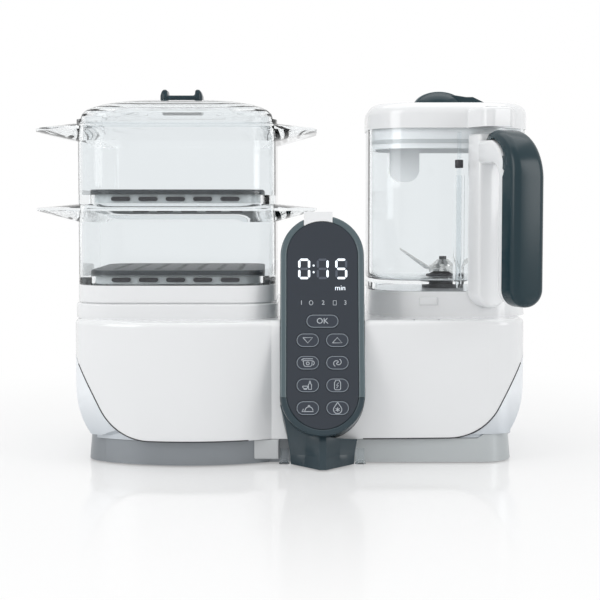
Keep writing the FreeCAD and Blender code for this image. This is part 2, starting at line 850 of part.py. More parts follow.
def pan_inside(sketch, grow="0"):
    """The plan of the pan's hollow, grown or shrunk by a formula."""
    inset = "2 * pan_wall + 2 * pan_end_top * tan(pan_draft) - 2 * (%s)" % grow
    draw_box(sketch, "pan_width - (%s)" % inset, "pan_depth - (%s)" % inset,
             "pan_corner - (%s) / 2" % inset)


def pan_ring(sketch):
    """All the space outside the pan's hollow, with a seam kept free."""
    draw_box(sketch, "2 * base_width", "2 * base_depth")
    pan_inside(sketch, "-seam")


def make_bottom_pan():
    """Grey plinth and floor: a drafted ring on a floor with vents and screw holes."""
    body = slab("PanBody", lambda s: draw_box(s, "pan_width", "pan_depth", "pan_corner"), "pan_bottom",
                "pan_end_top - pan_bottom", draft="-pan_draft")
    inner = new_sketch(body, "XY", "pan_end_top")
    pan_inside(inner)
    pocket(body, inner, "pan_end_top - pan_floor - pan_wall")
    under = new_sketch(body, "XY", "pan_bottom")
    draw_box(under, "pan_width - 2 * pan_wall - 4", "pan_depth - 2 * pan_wall - 4",
             "pan_corner - pan_wall - 2")
    pocket(body, under, "pan_floor - pan_bottom", flip=True)
    holes = new_sketch(body, "XY", "pan_floor + pan_wall")
    for x, y in post_places():
        draw_circle(holes, "screw_radius + turn_clearance", x, y)
    for side in ("steam_middle / 2", "jug_middle"):
        for step in range(-3, 4):
            draw_pill(holes, "vent_width", "vent_length", "%s + %d * vent_pitch" % (side, step), "0",
                      upright=True)
    pocket(body, holes, "2 * pan_wall")
    end = "pan_width / 2 - pan_end_run"
    crown = [("-pan_width", "0"), ("pan_width", "0"), ("pan_width", "pan_end_top + 1"),
             ("(%s)" % end, "pan_end_top + 1"), ("(%s) - 6" % end, "pan_top"),
             ("6 - (%s)" % end, "pan_top"),
             ("-(%s)" % end, "pan_end_top + 1"), ("-pan_width", "pan_end_top + 1")]
    crowned = shared("PanCrown", body, across("PanCurve", lambda s: draw(s, crown), "base_depth"))
    lens = swell_lens("PanSwell", "pan_inset_front", "pan_bottom", "pan_top - pan_bottom")
    hollow = swell_lens("PanSwellHollow", "pan_inset_front + pan_wall", "pan_bottom - 1",
                        "pan_top - pan_bottom - pan_wall + 1")
    outside = block("PanSwellRegion", "base_width", "base_depth", "pan_top", "-base_width / 2",
                    "-pan_depth / 2 - base_depth", "0")
    bumper = cut("PanBumper", lens, shared("PanSwellTool", hollow, outside))
    keep(joined("BottomPan", [crowned, bumper]), "bottom_pan")


def make_feet():
    """Four rubber feet under the pan and two clear suction feet beside the pod."""
    feet = []
    for i, sx in enumerate(("-1", "1")):
        for j, sy in enumerate(("-1", "1")):
            feet.append(cylinder("Foot%d%d" % (i, j), "foot_radius", "pan_floor",
                                 "%s * (pan_width / 2 - foot_inset_side)" % sx,
                                 "%s * (pan_depth / 2 - foot_inset_front)" % sy))
    keep(group("RubberFeet", feet), "rubber_feet")
    cups = []
    for i, sign in enumerate(("-1", "1")):
        cup = turned("Suction%d" % i, [("0", "2.5"), ("2", "2.5"), ("suction_radius", "0.4"),
                                       ("suction_radius", "1.6"),
                                       ("3", "4.5"), ("3", "suction_height"), ("0", "suction_height")])
        place(cup, "pod_middle + %s * (pod_width / 2 - 3)" % sign,
              "-(pan_depth / 2 + suction_radius + 0.4)")
        cups.append(cup)
    keep(group("SuctionFeet", cups), "suction_feet")


def make_pan_screws():
    """Screws from under the pan into the posts."""
    screws = []
    for i, (x, y) in enumerate(post_places()):
        head = "pan_floor - screw_head_height"
        screw = turned("PanScrew%d" % i, [("0", head), ("screw_head_radius", head),
                                          ("screw_head_radius", "pan_floor"),
                                          ("screw_radius", "pan_floor"),
                                          ("screw_radius", "pan_floor + pan_wall"),
                                          ("0", "pan_floor + pan_wall")])
        screws.append(place(screw, x, y))
    keep(group("PanScrews", screws), "pan_screws")


def make_foot_block():
    """Lighter block on the plinth's front, left of the pod, with a slanting left edge."""
    outline = [("block_left", "block_foot"), ("block_right", "block_foot"),
               ("block_right", "parting_low - seam"),
               ("block_left + 9", "parting_low - seam"), ("block_left + 3", "parting_low - 6")]
    front = "-pan_depth / 2 - block_depth"
    body = across("FootBlockBody", lambda s: draw(s, outline), "block_depth - seam", front)
    soften(body, at_depth(front), "1.2")
    swell = cylinder("FootBlockTool", "swell_radius - pan_inset_front + seam", "deck_height",
                     "swell_middle", "swell_hub")
    keep(cut("FootBlock", body, swell), "foot_block")


# Control pod ------------------------------------------------------------------------------------

def pod_casing(name):
    """The pod's whole casing: a pill-shaped tray open to the front, with a step for the panel."""
    def outline(sketch, inset):
        draw_pill(sketch, "pod_width - 2 * (%s)" % inset, "pod_length - 2 * (%s)" % inset, "0",
                  "pod_length / 2", upright=True)
    body = across(name, lambda s: outline(s, "0"), "pod_depth", "0")
    seat = new_sketch(body, "XZ", "0")
    outline(seat, "pod_rim")
    pocket(body, seat, "panel_back")
    well = new_sketch(body, "XZ", "-panel_back")
    outline(well, "pod_rim + panel_ledge")
    pocket(body, well, "pod_depth - panel_back - pod_back_wall")
    soften(body, at_depth("0"), "pod_rim_round")
    return body


def tab_bar(name, grow, depth, front, low="pod_length - 3 * pod_rim"):
    """A bar as wide as the white tab, from a place low on the pod up past the top of its rim."""
    def outline(sketch):
        draw_box(sketch, "tab_right - tab_left + 2 * (%s)" % grow, "tab_length - (%s)" % low, None,
                 "(tab_left + tab_right) / 2 - pod_middle", "(tab_length + %s) / 2" % low)
    return lean(across(name, outline, depth, front))


def make_pod_frame():
    """Slate rim and tray of the pod, down to the seam, with a notch for the white tab."""
    body = pod_casing("FrameCasing")
    region = block("FrameRegion", "2 * pod_width", "2 * pod_depth", "pod_length", "-pod_width",
                   "-pod_depth", "pod_seam")
    notch = tab_bar("FrameNotch", "seam", "1 + tab_lip + seam", "-1")
    keep(cut("PodFrame", lean(shared("FrameWhole", body, region)), notch), "pod_frame")


def beak_keel():
    """The prow under the pod, through level sections from the counter up to the pod.

    Each row gives a height, then half widths with depths in front of the base: at the back, at the
    cheek, at the ridge and at the keel.
    """
    front = "base_depth / 2"
    keel = "beak_tip_width / 2"
    rows = (("pan_bottom", (("23", "seam"), ("24", "4"), ("14", "16"), (keel, "30"))),
            ("9", (("24", "seam"), ("24.5", "5"), ("13", "12"), (keel, "26"))),
            ("34", (("30", "seam"), ("28.5", "6"), ("12", "11.5"), (keel, "13"))),
            ("beak_top", (("pod_width / 2", "seam"), ("pod_width / 2", "7"),
                          ("15", "pod_front - 6 - (%s)" % front),
                          (keel, "pod_front - 6 - (%s)" % front))))
    body = new_body("BeakKeel")
    sections = []
    for height, spots in rows:
        left = [("pod_middle - (%s)" % across, "-(%s) - (%s)" % (front, out)) for across, out in spots]
        right = [("pod_middle + (%s)" % across, "-(%s) - (%s)" % (front, out)) for across, out in spots]
        sketch = new_sketch(body, "XY", height)
        draw(sketch, left + right[::-1])
        sections.append(sketch)
    loft(body, "BeakLoft", sections)
    return body


def make_pod_beak():
    """Lower end of the pod: the tray's end with the bow-shaped foot under it."""
    body = pod_casing("BeakCasing")
    region = block("BeakRegion", "2 * pod_width", "2 * pod_depth", "pod_seam + pod_width - seam",
                   "-pod_width", "-pod_depth", "-pod_width")
    end = lean(shared("BeakEnd", body, region))
    hollow = pod_prism("BeakHollow", "-(pod_rim + panel_ledge)", "panel_back",
                       "pod_depth - panel_back - pod_back_wall")
    seat = pod_prism("BeakSeat", "-pod_rim", "-30", "30 + panel_back")
    above = lean(block("BeakAbove", "2 * pod_width", "4 * pod_depth", "pod_length", "-pod_width",
                       "-2 * pod_depth", "pod_seam - seam"))
    tongue = block("BeakTongue", "38", "(base_depth - pan_depth) / 2 + 2", "pan_top - 3",
                   "pod_middle - 19", "-(base_depth / 2 + seam + 2)", "1")
    keel = cut("BeakCutA", cut("BeakCutB", cut("BeakCutC", beak_keel(), hollow), seat), above)
    keep(joined("PodBeak", [end, keel, tongue]), "pod_beak")


def key_rows():
    """Every key's name, across and along places on the face, and its width and height."""
    names = (("key_warm", "key_thaw"), ("key_bottle", "key_jar"), ("key_steam", "key_blend"),
             ("key_down", "key_up"))
    rows = []
    for row, pair in enumerate(names):
        for side, name in zip(("-1", "1"), pair):
            rows.append((name, "%s * key_pitch_across / 2" % side,
                         "key_first_row + %d * key_pitch_along" % row,
                         "key_width", "key_height"))
    rows.append(("key_ok", "0", "ok_row", "ok_width", "ok_height"))
    return rows


def make_pod_panel():
    """Dark face of the pod, with a hole for each key."""
    def outline(sketch):
        draw_pill(sketch, "panel_width - 2 * panel_clearance", "panel_length - 2 * panel_clearance", "0",
                  "pod_length / 2", upright=True)
    body = across("PodPanel", outline, "panel_thick - 0.05", "panel_front")
    holes = new_sketch(body, "XZ", "0")
    for name, x, z, width, height in key_rows():
        draw_pill(holes, "%s + 2 * key_clearance" % width, "%s + 2 * key_clearance" % height, x, z)
    pocket(body, holes, "3 * panel_thick")
    keep(lean(body), "pod_panel")


def make_keys():
    """Nine pill keys with a flange behind the panel."""
    for name, x, z, width, height in key_rows():
        body = across(name + "_body", lambda s: draw_pill(s, width, height, x, z),
                      "key_back - panel_front + key_stand",
                      "panel_front - key_stand")
        soften(body, at_depth("panel_front - key_stand"), "0.35")
        flange = new_sketch(body, "XZ", "-key_back")
        draw_pill(flange, "%s + 2 * key_flange" % width, "%s + 2 * key_flange" % height, x, z)
        pad(body, flange, "key_flange_thick")
        keep(lean(body), name)


def make_pod_electronics():
    """Board, dome switches and the display that lie behind the panel."""
    def outline(sketch):
        draw_pill(sketch, "panel_width - 2 * panel_ledge - 1", "panel_length - 2 * panel_ledge - 1", "0",
                  "pod_length / 2", upright=True)
    keep(lean(across("ControlBoard", outline, "board_thick", "switch_back")), "control_board")
    domes = []
    for number, (name, x, z, width, height) in enumerate(key_rows()):
        domes.append(lean(across("Dome%d" % number, lambda s: draw_circle(s, "2.6", x, z), "switch_height",
                                 "switch_back - switch_height")))
    keep(group("KeySwitches", domes), "key_switches")
    display = across("Display", lambda s: draw_box(s, "display_width", "display_height", None, "0",
                                                   "display_row"),
                     "switch_back - panel_back - seam", "panel_back + seam")
    keep(lean(display), "display_module")


def make_pod_column():
    """White back of the pod above the deck, with a tab that hooks over the pod's rim."""
    def outline(sketch):
        draw_pill(sketch, "column_width", "2 * column_length - pod_length", "0", "pod_length / 2",
                  upright=True)
    body = across("ColumnBody", outline, "column_depth", "pod_depth + seam")
    strap = tab_bar("ColumnStrap", "0", "tab_thick", "pod_depth + seam", "column_length - tab_lap")
    tab = tab_bar("ColumnTab", "0", "pod_depth + seam + tab_thick", "0")
    lipped = cut("TabOverPanel", tab, pod_prism("TabPanelTool", "seam - pod_rim", "-10",
                                                "10 + 3 * pod_depth"))
    hook = cut("TabOverPod", lipped, pod_prism("TabPodTool", "seam", "tab_lip",
                                               "pod_depth + seam - tab_lip"))
    above = block("ColumnRegion", "base_width", "base_depth", "base_width", "-base_width / 2",
                  "-base_depth / 2 - pod_depth", "deck_height + seam")
    keep(shared("PodColumn", joined("ColumnWhole", [lean(body), strap, hook]), above), "pod_column")


# Steamer ----------------------------------------------------------------------------------------

def steam(thing):
    """Stand a turned piece on the steamer's axis."""
    return place(thing, "steam_middle")


def make_boiler():
    """Stainless cup under the deck, its gasket, the heater ring and the thermostat."""
    top = "deck_under - gasket_thick"
    low = "%s - cup_depth" % top
    cup = turned("BoilerCup", [("0", low), ("cup_radius - 4", low, "5"),
                               ("cup_radius - 2", "%s - cup_wall" % top),
                               ("cup_radius + cup_flange", "%s - cup_wall" % top),
                               ("cup_radius + cup_flange", top),
                               ("cup_radius - 2 - cup_wall", top),
                               ("cup_radius - 4 - cup_wall", "%s + cup_wall" % low, "4"),
                               ("0", "%s + cup_wall" % low)])
    keep(steam(cup), "boiler_cup")
    keep(steam(ring("BoilerGasket", "cup_radius + 0.8", "cup_radius + cup_flange", top, "deck_under")),
         "boiler_gasket")
    heater = doc.addObject("Part::Torus", "Heater")
    heater.setExpression("Radius1", formula("heater_ring"))
    heater.setExpression("Radius2", formula("heater_tube"))
    place(heater, "steam_middle", "0", "%s - heater_tube" % low)
    ends = [cylinder("HeaterEnd%d" % i, "heater_tube * 0.7", "14", "steam_middle + %s * 8" % s,
                     "-heater_ring + 1",
                     "%s - heater_tube - 14" % low) for i, s in enumerate(("-1", "1"))]
    keep(joined("HeatingElement", [heater] + ends), "heating_element")
    thermostat = ring("ThermostatBody", "0.001", "8", "%s - 9" % low, low)
    ear = block("ThermostatEar", "24", "6", "1", "steam_middle - 12", "-3", "%s - 1" % low)
    keep(joined("Thermostat", [steam(thermostat), ear]), "thermostat")


def make_juice_collector():
    """White two-tier tray that catches the juice, with a steam chimney in its middle."""
    size = ("collector_width", "collector_depth", "collector_corner")
    body = slab("Collector", lambda s: draw_box(s, *size), "deck_height", "collector_step")
    soften(body, at_height("deck_height + collector_step"), "1.2")
    neck = new_sketch(body, "XY", "deck_height + collector_step")
    draw_box(neck, "collector_width - 4 * collector_shoulder", "collector_depth - 4 * collector_shoulder",
             "collector_corner - 2 * collector_shoulder")
    pad(body, neck, "collector_groove")
    tier = new_sketch(body, "XY", "deck_height + collector_step + collector_groove")
    draw_box(tier, "collector_width - 2 * collector_shoulder", "collector_depth - 2 * collector_shoulder",
             "collector_corner - collector_shoulder")
    pad(body, tier, "collector_height - collector_step - collector_groove")
    inner = new_sketch(body, "XY", "collector_top")
    inset = "(4 * collector_shoulder + 2 * collector_wall)"
    draw_box(inner, "collector_width - %s" % inset, "collector_depth - %s" % inset,
             "collector_corner - 2 * collector_shoulder - collector_wall")
    pocket(body, inner, "collector_height - collector_floor")
    chimney = new_sketch(body, "XY", "deck_height + collector_floor")
    draw_circle(chimney, "chimney_radius + collector_wall")
    pad(body, chimney, "chimney_height")
    hole = new_sketch(body, "XY", "collector_top")
    draw_circle(hole, "chimney_radius")
    pocket(body, hole, "2 * collector_height")
    keep(steam(body), "juice_collector")


def make_basket(name, bottom):
    """Clear basket: straight walls, a plug that nests below, a ledge inside and flared wings."""
    rim = "%s + basket_height" % bottom
    plan = ("basket_width", "basket_depth", "basket_corner")
    body = slab(name + "_body", lambda s: draw_box(s, *plan), bottom, "basket_height")
    wing_top = "%s - wing_droop" % rim
    spread = ("wing_span", "wing_depth", "wing_corner", "wing_shift")
    layers = []
    for level, outline in (("%s - wing_thick - wing_flare" % wing_top, plan),
                           ("%s - wing_thick" % wing_top, spread),
                           (wing_top, spread), (rim, plan)):
        layer = new_sketch(body, "XY", level)
        draw_box(layer, *outline)
        layers.append(layer)
    loft(body, name + "_wings", layers)
    plug = new_sketch(body, "XY", bottom)
    inset = "2 * (collector_shoulder * 2 + collector_wall + plug_clearance) - 2"
    draw_box(plug, "collector_width - (%s) - 2" % inset, "collector_depth - (%s) - 2" % inset,
             "collector_corner - (%s) / 2 - 1" % inset)
    pad(body, plug, "plug_depth", flip=True)
    inner = new_sketch(body, "XY", rim)
    draw_box(inner, "basket_width - 2 * basket_wall", "basket_depth - 2 * basket_wall",
             "basket_corner - basket_wall")
    pocket(body, inner, "basket_height - basket_ledge")
    under = new_sketch(body, "XY", "%s + basket_ledge" % bottom)
    draw_box(under, "floor_width - 2 * floor_skirt_wall - 1", "floor_depth - 2 * floor_skirt_wall - 1",
             "floor_corner - floor_skirt_wall - 0.5")
    pocket(body, under, "basket_ledge + plug_depth + 1")
    keep(steam(body), name)


def make_basket_floor(name, bottom):
    """Dark perforated floor: a plate on the ledge with a slotted skirt that hangs through it."""
    level = "%s + floor_rise" % bottom
    body = slab(name + "_body", lambda s: draw_box(s, "floor_width", "floor_depth", "floor_corner"), level,
                "floor_thick")
    soften(body, at_height("%s + floor_thick" % level), "1.2")
    drop = "2 * floor_skirt_wall + 1 + 2 * floor_clearance"
    skirt = new_sketch(body, "XY", level)
    draw_box(skirt, "floor_width - (%s)" % drop, "floor_depth - (%s)" % drop,
             "floor_corner - (%s) / 2" % drop)
    draw_box(skirt, "floor_width - (%s) - 2 * floor_skirt_wall" % drop,
             "floor_depth - (%s) - 2 * floor_skirt_wall" % drop,
             "floor_corner - (%s) / 2 - floor_skirt_wall" % drop)
    pad(body, skirt, "floor_skirt", flip=True)
    for column in range(-3, 4):
        holes = new_sketch(body, "XY", "%s + floor_thick" % level)
        for row in range(-4, 5):
            draw_circle(holes, "floor_hole", "%d * floor_pitch * 1.25" % column, "%d * floor_pitch" % row)
        pocket(body, holes, "floor_thick + 1")
    slots = new_sketch(body, "XZ")
    for step in range(-2, 3):
        draw_pill(slots, "15", "3.4", "%d * 21" % step, "%s - floor_skirt / 2" % level)
    pocket(body, slots, "base_depth", both=True)
    keep(steam(body), name)


def lid_dome(name, inset, bottom):
    """A low smooth dome on straight sides, inset and lowered alike.

    Each row gives how far a level outline lies in from the dome's foot, its corner and how far it lies
    below the crown.
    """
    body = new_body(name)
    crown = "upper_rim + lid_height - (%s)" % inset
    rows = (("0", "28", "16.5"), ("1", "28", "12.8"), ("4", "27", "9.6"), ("9", "26", "7"),
            ("16", "24", "4.6"), ("26", "20", "2.4"), ("38", "16", "0.8"), ("49", "12", "0"))
    layers = []
    for step, corner, below in rows:
        layer = new_sketch(body, "XY", "%s - %s" % (crown, below))
        shrink = "2 * (dome_inset + (%s) + (%s))" % (inset, step)
        draw_box(layer, "lid_width - %s" % shrink, "lid_depth - %s" % shrink, "%s - (%s)" % (corner, inset))
        layers.append(layer)
    foot = new_sketch(body, "XY", bottom)
    shrink = "2 * (dome_inset + (%s))" % inset
    draw_box(foot, "lid_width - %s" % shrink, "lid_depth - %s" % shrink, "28 - (%s)" % inset)
    pad(body, foot, "%s - %s - (%s)" % (crown, rows[0][2], bottom))
    loft(body, name + "Crown", layers)
    return body


def make_steam_lid():
    """Clear steamer lid: a flange on the rim, a plug inside it and a flat dome with steam vents."""
    dome = lid_dome("LidDome", "0", "upper_rim")
    flange = slab("LidFlange", lambda s: draw_box(s, "lid_width", "lid_depth", "lid_corner"), "upper_rim",
                  "lid_flange")
    plug_inset = "2 * (basket_wall + plug_clearance)"
    plug = slab("LidPlug", lambda s: draw_box(s, "basket_width - %s" % plug_inset,
                                              "basket_depth - %s" % plug_inset,
                                              "basket_corner - basket_wall - plug_clearance"),
                "upper_rim - plug_depth", "plug_depth + 1")
    whole = joined("LidWhole", [dome, flange, plug])
    hollow = lid_dome("LidHollow", "lid_wall", "upper_rim - plug_depth - 1")
    vents = [cylinder("LidVent%d" % i, "vent_radius", "20", "%s * 30" % s, "0",
                      "upper_rim + lid_height - 10")
             for i, s in enumerate(("-1", "1"))]
    shell = cut("LidShell", whole, joined("LidTools", [hollow] + vents))
    keep(steam(shell), "steam_lid")


def make_lid_knob():
    """Slate bow on the lid, with a saddle between its two horns."""
    foot = "upper_rim + lid_height"
    half = "knob_width / 2"
    outline = [("-%s" % half, foot), (half, foot), ("%s - 1" % half, "%s + knob_height" % foot, "2.5"),
               ("%s - 9" % half, "%s + knob_height - 1" % foot, "6"), ("4", "%s + knob_saddle" % foot, "6"),
               ("-4", "%s + knob_saddle" % foot, "6"),
               ("9 - %s" % half, "%s + knob_height - 1" % foot, "6"),
               ("1 - %s" % half, "%s + knob_height" % foot, "2.5")]
    body = across("LidKnob", lambda s: draw(s, outline), "knob_depth")
    low = value(foot)
    face = value("knob_depth") / 2
    soften(body,
           lambda edge: abs(abs(edge.CenterOfMass.y) - face) < 0.01 and edge.BoundBox.ZMax > low + 0.5,
           "knob_round - 1")
    keep(steam(body), "lid_knob")


# Motor ------------------------------------------------------------------------------------------

def jug(thing):
    """Stand a piece on the jug's axis."""
    return place(thing, "jug_middle")


def mount_places():
    """Where the motor hangs from the deck."""
    return [("jug_middle + %s * mount_spread_across" % i, "%s * mount_spread_along" % j)
            for i in "-1 1".split() for j in "-1 1".split()]


def make_motor():
    """Motor under the jug: can, stator, rotor with shaft, fan, bearings, bracket and mounts."""
    bore = "bearing_radius + 0.3"
    can = turned("MotorCan", [(bore, "can_bottom"), ("can_radius", "can_bottom"), ("can_radius", "can_top"),
                              ("can_radius - can_wall", "can_top"),
                              ("can_radius - can_wall", "can_bottom + can_wall"),
                              (bore, "can_bottom + can_wall")])
    keep(jug(can), "motor_can")
    keep(jug(ring("StatorCore", "stator_inner", "can_radius - can_wall - 0.1", "stator_bottom",
                  "stator_top")),
         "stator_core")
    rotor = turned("MotorRotor", [("0", "can_bottom - 2"), ("shaft_radius", "can_bottom - 2"),
                                  ("shaft_radius", "stator_bottom - 2"),
                                  ("rotor_radius", "stator_bottom - 2"),
                                  ("rotor_radius", "stator_top + 2"), ("shaft_radius", "stator_top + 2"),
                                  ("shaft_radius", "shaft_top"), ("0", "shaft_top")])
    keep(jug(rotor), "motor_rotor")
    bearings = []
    for number, level in enumerate(("can_bottom - 1", "bracket_bottom - 2")):
        bearings.append(jug(ring("Bearing%d" % number, "shaft_radius + turn_clearance", "bearing_radius",
                                 level, "%s + bearing_height" % level)))
    keep(group("MotorBearings", bearings), "motor_bearings")
    plate = slab("BracketBody", lambda s: draw_box(s, "bracket_width", "bracket_depth", "8"),
                 "bracket_bottom", "bracket_thick")
    holes = new_sketch(plate, "XY", "bracket_top")
    draw_circle(holes, bore)
    pocket(plate, holes, "2 * bracket_thick")
    keep(jug(plate), "motor_bracket")
    mounts = [place(ring("Mount%d" % i, "screw_radius", "mount_radius", "bracket_top",
                         "bracket_top + mount_height"),
                    x, y) for i, (x, y) in enumerate(mount_places())]
    keep(group("MotorMounts", mounts), "motor_mounts")


def make_fan():
    """Cooling fan on the shaft's lower end: a hub with eight straight blades on a disc."""
    low = "can_bottom + can_wall + 3"
    body = turned("CoolingFan", [("shaft_radius", low), ("fan_radius", low),
                                 ("fan_radius", "%s + 1.2" % low),
                                 ("8", "%s + 1.2" % low), ("8", "%s + fan_height" % low),
                                 ("shaft_radius", "%s + fan_height" % low)])
    blade = new_sketch(body, "XY", "%s + 1.2" % low)
    draw_box(blade, "fan_radius - 7", "1.4", None, "(fan_radius + 5) / 2", "0")
    vane = pad(body, blade, "fan_height - 1.2")
    ringed = body.newObject("PartDesign::PolarPattern", "FanVanes")
    ringed.Originals = [vane]
    ringed.Axis = (blade, ["N_Axis"])
    ringed.Angle = 360
    ringed.Occurrences = 8
    body.Tip = ringed
    doc.recompute()
    keep(jug(body), "cooling_fan")


def star(name, grow, bottom, height):
    """A six-toothed star prism on the shaft's axis; grow widens it all round."""
    body = slab(name, lambda s: draw_circle(s, "coupling_radius + (%s)" % grow), bottom, height)
    tooth = new_sketch(body, "XY", bottom)
    draw_box(tooth, "coupling_radius + coupling_tooth + (%s)" % grow, "3.6 + 2 * (%s)" % grow, None,
             "(coupling_radius + coupling_tooth + (%s)) / 2" % grow, "0")
    single = pad(body, tooth, height)
    around = body.newObject("PartDesign::PolarPattern", name + "Teeth")
    around.Originals = [single]
    around.Axis = (tooth, ["N_Axis"])
    around.Angle = 360
    around.Occurrences = 6
    body.Tip = around
    doc.recompute()
    return body


def make_couplings():
    """Drive coupling on the motor shaft, and the jug's socket on the blade shaft."""
    male = star("DriveStar", "0", "coupling_bottom", "coupling_height")
    bore = cylinder("DriveBore", "shaft_radius", "coupling_height + 4", "0", "0", "coupling_bottom - 2")
    keep(jug(cut("DriveCoupling", male, bore)), "drive_coupling")
    socket_top = "collar_top_height - collar_top - 1"
    socket = ring("SocketBody", "0.001", "coupling_radius + coupling_tooth + 2", "coupling_bottom + 1",
                  socket_top)
    hollow = star("SocketStar", "coupling_clearance", "coupling_bottom - 1", "coupling_height + 1.6")
    shell = cut("SocketShell", socket, hollow)
    shaft = cylinder("SocketShaft", "blade_shaft_radius", "jug_floor + 20 - (%s) + 1" % socket_top,
                     "0", "0", "%s - 1" % socket_top)
    keep(jug(joined("BladeShaft", [shell, shaft])), "blade_shaft")


def make_jug_seat():
    """Raised ring on the deck that the jug stands over, with the seal round the shaft."""
    seat = turned("JugSeat", [("seat_bore", "deck_under - 10"), ("seat_tube", "deck_under - 10"),
                              ("seat_tube", "deck_height"), ("seat_radius", "deck_height"),
                              ("seat_radius", "deck_height + seat_height - 1.5"),
                              ("seat_radius - 1.5", "deck_height + seat_height"),
                              ("seat_bore", "deck_height + seat_height")])
    keep(jug(seat), "jug_seat")
    keep(jug(ring("ShaftSeal", "shaft_radius + turn_clearance", "seat_bore - 0.05", "deck_height - 4",
                  "deck_height - 4 + seal_thick")), "shaft_seal")
    body = block("SwitchBody", "20", "8", "14", "jug_middle - 10", "-58", "deck_under - 16")
    stem = cylinder("SwitchStem", "1.6", "3", "jug_middle", "-54", "deck_under - 3")
    keep(joined("JugSwitch", [body, stem]), "jug_switch")


def make_power_board():
    """Power board on the pan's floor with its transformer, relay and capacitor."""
    level = "pan_floor + pan_wall + 6"
    things = [block("BoardPlate", "66", "64", "board_thick", "-22", "-4", level),
              block("BoardTransformer", "26", "22", "20", "-16", "4", "%s + board_thick" % level),
              block("BoardRelay", "18", "14", "16", "18", "6", "%s + board_thick" % level),
              cylinder("BoardCapacitor", "6", "18", "26", "40", "%s + board_thick" % level)]
    for i, x in enumerate(("-18", "38")):
        for j, y in enumerate(("0", "54")):
            things.append(cylinder("BoardLeg%d%d" % (i, j), "2.6", "6", x, y, "pan_floor + pan_wall"))
    keep(joined("PowerBoard", things), "power_board")


def make_cord_gland():
    """Grommet in the rear wall where the mains lead leaves."""
    wall = "base_depth / 2"
    body = turned("CordGland", [("gland_bore", "-5"), ("gland_radius - 2.3", "-5"),
                                ("gland_radius - 2.3", "0.6"),
                                ("gland_radius", "0.6"), ("gland_radius - 1.6", "0.6 + gland_flange"),
                                ("gland_bore", "0.6 + gland_flange")])
    turn(body, (1, 0, 0), "-90")
    keep(place(body, "gland_across", wall, "gland_height"), "cord_gland")


# Jug --------------------------------------------------------------------------------------------

def jug_box(sketch, inset):
    """The jug's plan, inset by a formula."""
    draw_box(sketch, "jug_width - 2 * (%s)" % inset, "jug_depth - 2 * (%s)" % inset,
             "jug_corner - (%s)" % inset)


def make_jug_collar():
    """White collar under the jug: a flared skirt with a top plate round the bushing."""
    body = slab("Collar", lambda s: jug_box(s, "0"), "deck_height", "collar_height", draft="-collar_draft")
    inner = new_sketch(body, "XY", "deck_height")
    jug_box(inner, "collar_wall + collar_height * tan(collar_draft)")
    pocket(body, inner, "collar_height - collar_top", flip=True)
    hole = new_sketch(body, "XY", "collar_top_height")
    draw_circle(hole, "bushing_foot + seam")
    pocket(body, hole, "2 * collar_top")
    keep(jug(body), "jug_collar")


def make_jug_wall():
    """Clear jug: a ring on the collar, a floor, round-cornered walls and the guide of the rod."""
    inset = "collar_wall"
    body = slab("JugWallBody", lambda s: jug_box(s, "0.6"), "collar_top_height",
                "jug_top - collar_top_height")
    inner = new_sketch(body, "XY", "jug_top")
    jug_box(inner, "0.6 + jug_wall")
    pocket(body, inner, "jug_top - jug_floor - jug_floor_thick")
    soften(body, at_height("jug_floor + jug_floor_thick"), "6")
    under = new_sketch(body, "XY", "collar_top_height")
    jug_box(under, "0.6 + jug_wall + %s" % inset)
    pocket(body, under, "jug_floor - collar_top_height", flip=True)
    hole = new_sketch(body, "XY", "jug_top")
    draw_circle(hole, "bushing_radius")
    pocket(body, hole, "jug_top")
    guide = cylinder("RodGuide", "rod_guide", "rod_guide_top - collar_top_height - 6", "rod_angle_x",
                     "-(jug_reach + rod_guide - 2)", "collar_top_height + 6")
    slit = cylinder("RodBore", "rod_radius + 0.5", "jug_top", "rod_angle_x", "-(jug_reach + rod_guide - 2)",
                    "deck_height")
    whole = joined("JugWhole", [body, guide])
    keep(jug(cut("JugWall", whole, slit)), "jug_wall")


def make_bushing():
    """Sealed bearing of the blades in the jug's floor, and the silicone ring under the floor."""
    bore = "blade_shaft_radius + turn_clearance"
    floor = "jug_floor"
    body = turned("BladeBushing", [(bore, "collar_top_height - collar_top + 1"),
                                   ("bushing_foot", "collar_top_height - collar_top + 1"),
                                   ("bushing_foot", "%s - 2" % floor),
                                   ("bushing_radius - 0.05", "%s - 2" % floor),
                                   ("bushing_radius - 0.05", "%s + jug_floor_thick + 2" % floor),
                                   ("hub_radius - 1", "%s + jug_floor_thick + 5" % floor),
                                   (bore, "%s + jug_floor_thick + 5" % floor)])
    keep(jug(body), "blade_bushing")
    keep(jug(ring("JugGasket", "bushing_radius", "bushing_foot + 2", "%s - 2" % floor, floor)),
         "jug_gasket")


def blade(name, angle, up, level):
    """One bent blade: a root on the hub and a tip raised or lowered."""
    rise = "blade_rise" if up else "-blade_rise * 0.35"
    root, knee, tip = "0", "hub_radius + 4", "blade_reach"
    outline = [(root, level), (knee, level), (tip, "%s + %s" % (level, rise)),
               (tip, "%s + %s + blade_thick" % (level, rise)), (knee, "%s + blade_thick" % level),
               (root, "%s + blade_thick" % level)]
    body = across(name, lambda s: draw(s, outline), "blade_width")
    edge = new_sketch(body, "XY", "%s - 2 * blade_rise" % level)
    draw(edge, [("hub_radius + 2", "blade_width / 2 + 1"), ("blade_reach + 1", "-blade_width / 2 + 1"),
                ("blade_reach + 1", "blade_width / 2 + 1")])
    pocket(body, edge, "5 * blade_rise", flip=True)
    turn(body, (0, 0, 1), str(angle))
    return body


